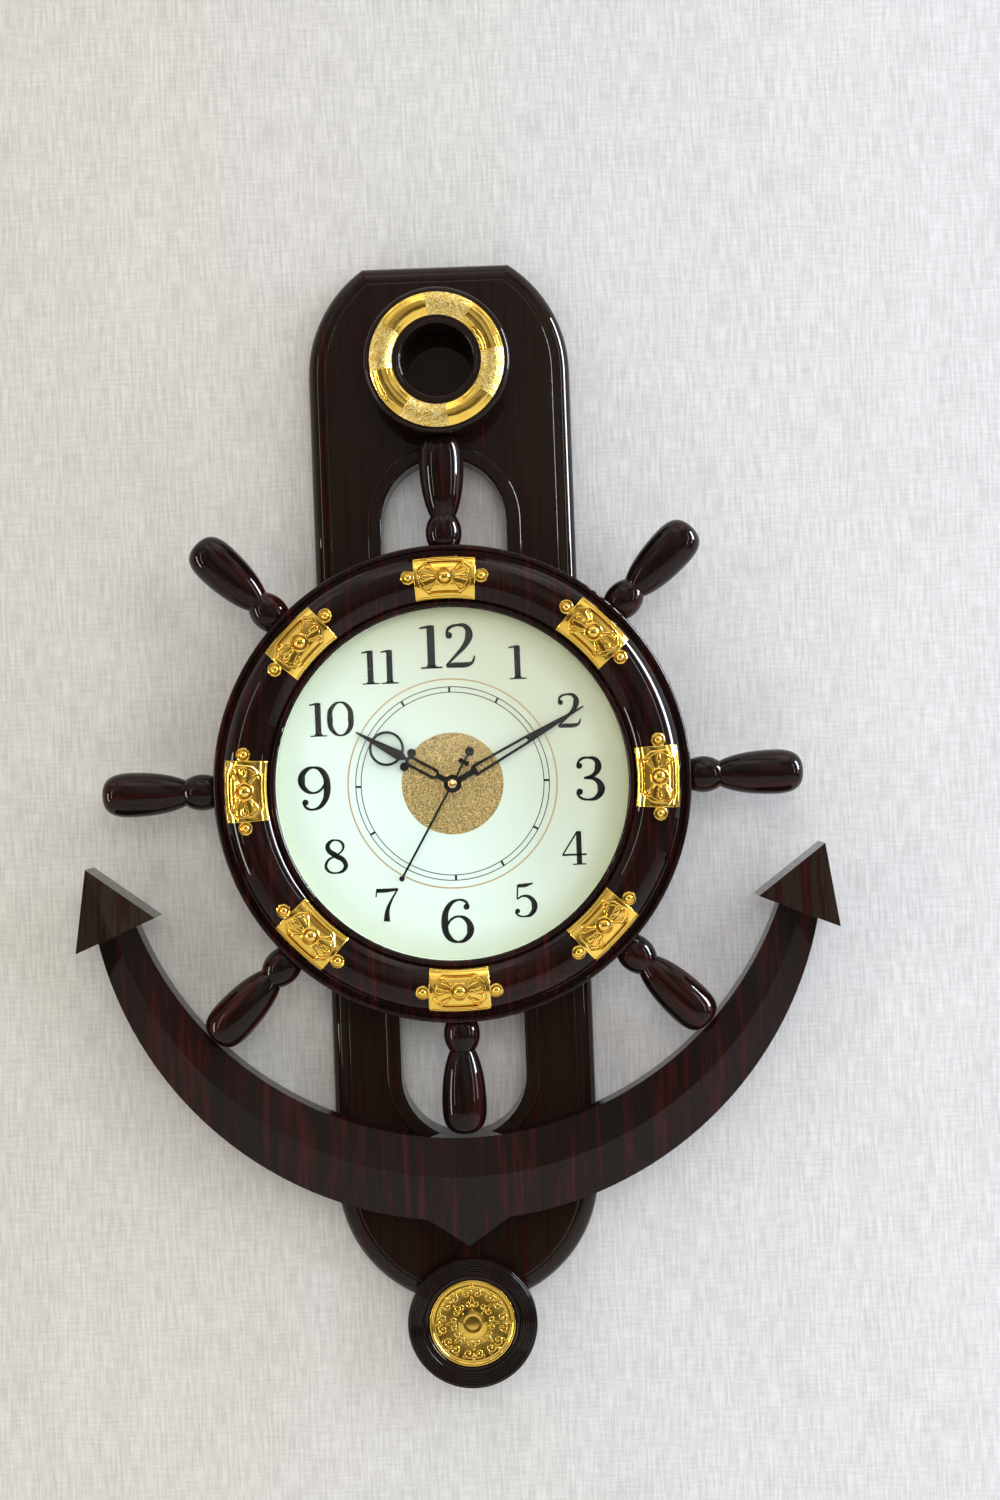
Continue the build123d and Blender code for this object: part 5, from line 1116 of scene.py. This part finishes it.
LIP_RADIUS, LIP_WIRE, LIP_HEIGHT = 19.6, 1.15, 51.6
lip = hoop(0, 0, 0, LIP_RADIUS, LIP_WIRE)
settle(lip, spot(0, RING_RISE, LIP_HEIGHT))
smooth(lip)
finish_with(lip, "ring_lip", board_lacquer, "clock")

# %% [markdown]
# The clock hangs on a pale papered wall with painted light: warmer on its left, cooler on its right. The
# wall is only a backdrop, so it lets the view from behind pass, and a plain floor lies well below.

# %% Wall and floor


def wall_paper(name):
    """Woven paper, with painted warm light on the left and cool light on the right, that is clear from
    behind.
    """
    material, tree, shader = new_finish(name, (0.78, 0.76, 0.75), 0.9)
    upright = noise(tree, 1.0, 3.0, (750, 60, 1))
    level = noise(tree, 1.0, 3.0, (70, 800, 1), (5, 3, 0))
    broad = noise(tree, 1.0, 2.0, (50, 9, 1), (2, 7, 0))
    weave = mix_values(tree, 0.34, upright.outputs["Fac"], level.outputs["Fac"])
    cloth = mix_values(tree, 0.12, weave, broad.outputs["Fac"])
    colours = ramp(tree, cloth, [(0.38, (0.72, 0.71, 0.705)), (0.62, (0.93, 0.92, 0.915))])
    # The tint from left to right is painted light: warm room light on the left, cool window light on the
    # right.
    where = tree.nodes.new("ShaderNodeTexCoord")
    sides = tree.nodes.new("ShaderNodeSeparateXYZ")
    tree.links.new(where.outputs["Object"], sides.inputs["Vector"])
    across = sum_up(tree, "ADD", sum_up(tree, "MULTIPLY", sides.outputs["X"], 1.6), 0.5)
    painted_light_tint = ramp(tree, across, [(0.1, (0.885, 0.885, 0.845)), (0.9, (0.98, 1.0, 1.07))])
    paper_with_painted_light = multiplied(tree, colours.outputs["Color"], painted_light_tint.outputs["Color"])
    tree.links.new(paper_with_painted_light, shader.inputs["Base Color"])
    bump(tree, shader, weave, 0.00012)
    geometry = tree.nodes.new("ShaderNodeNewGeometry")
    let_through(tree, shader, geometry.outputs["Backfacing"])
    return material


STAGE_SIZE = 6
WALL_GAP = 0.3 * MM
FLOOR_RISE = -1.4
bpy.ops.object.select_all(action="DESELECT")
bpy.ops.mesh.primitive_plane_add(
    size=STAGE_SIZE, location=(0, WALL + WALL_GAP, AXIS_RISE), rotation=(math.radians(90), 0, 0))
wall = bpy.context.object
wall.name = "wall"
wall.data.materials.append(wall_paper("wall_paper"))

bpy.ops.object.select_all(action="DESELECT")
bpy.ops.mesh.primitive_plane_add(size=STAGE_SIZE, location=(0, 0, FLOOR_RISE))
floor = bpy.context.object
floor.name = "floor"
floor.data.materials.append(new_finish("floor_paint", (0.75, 0.75, 0.74), 0.8)[0])
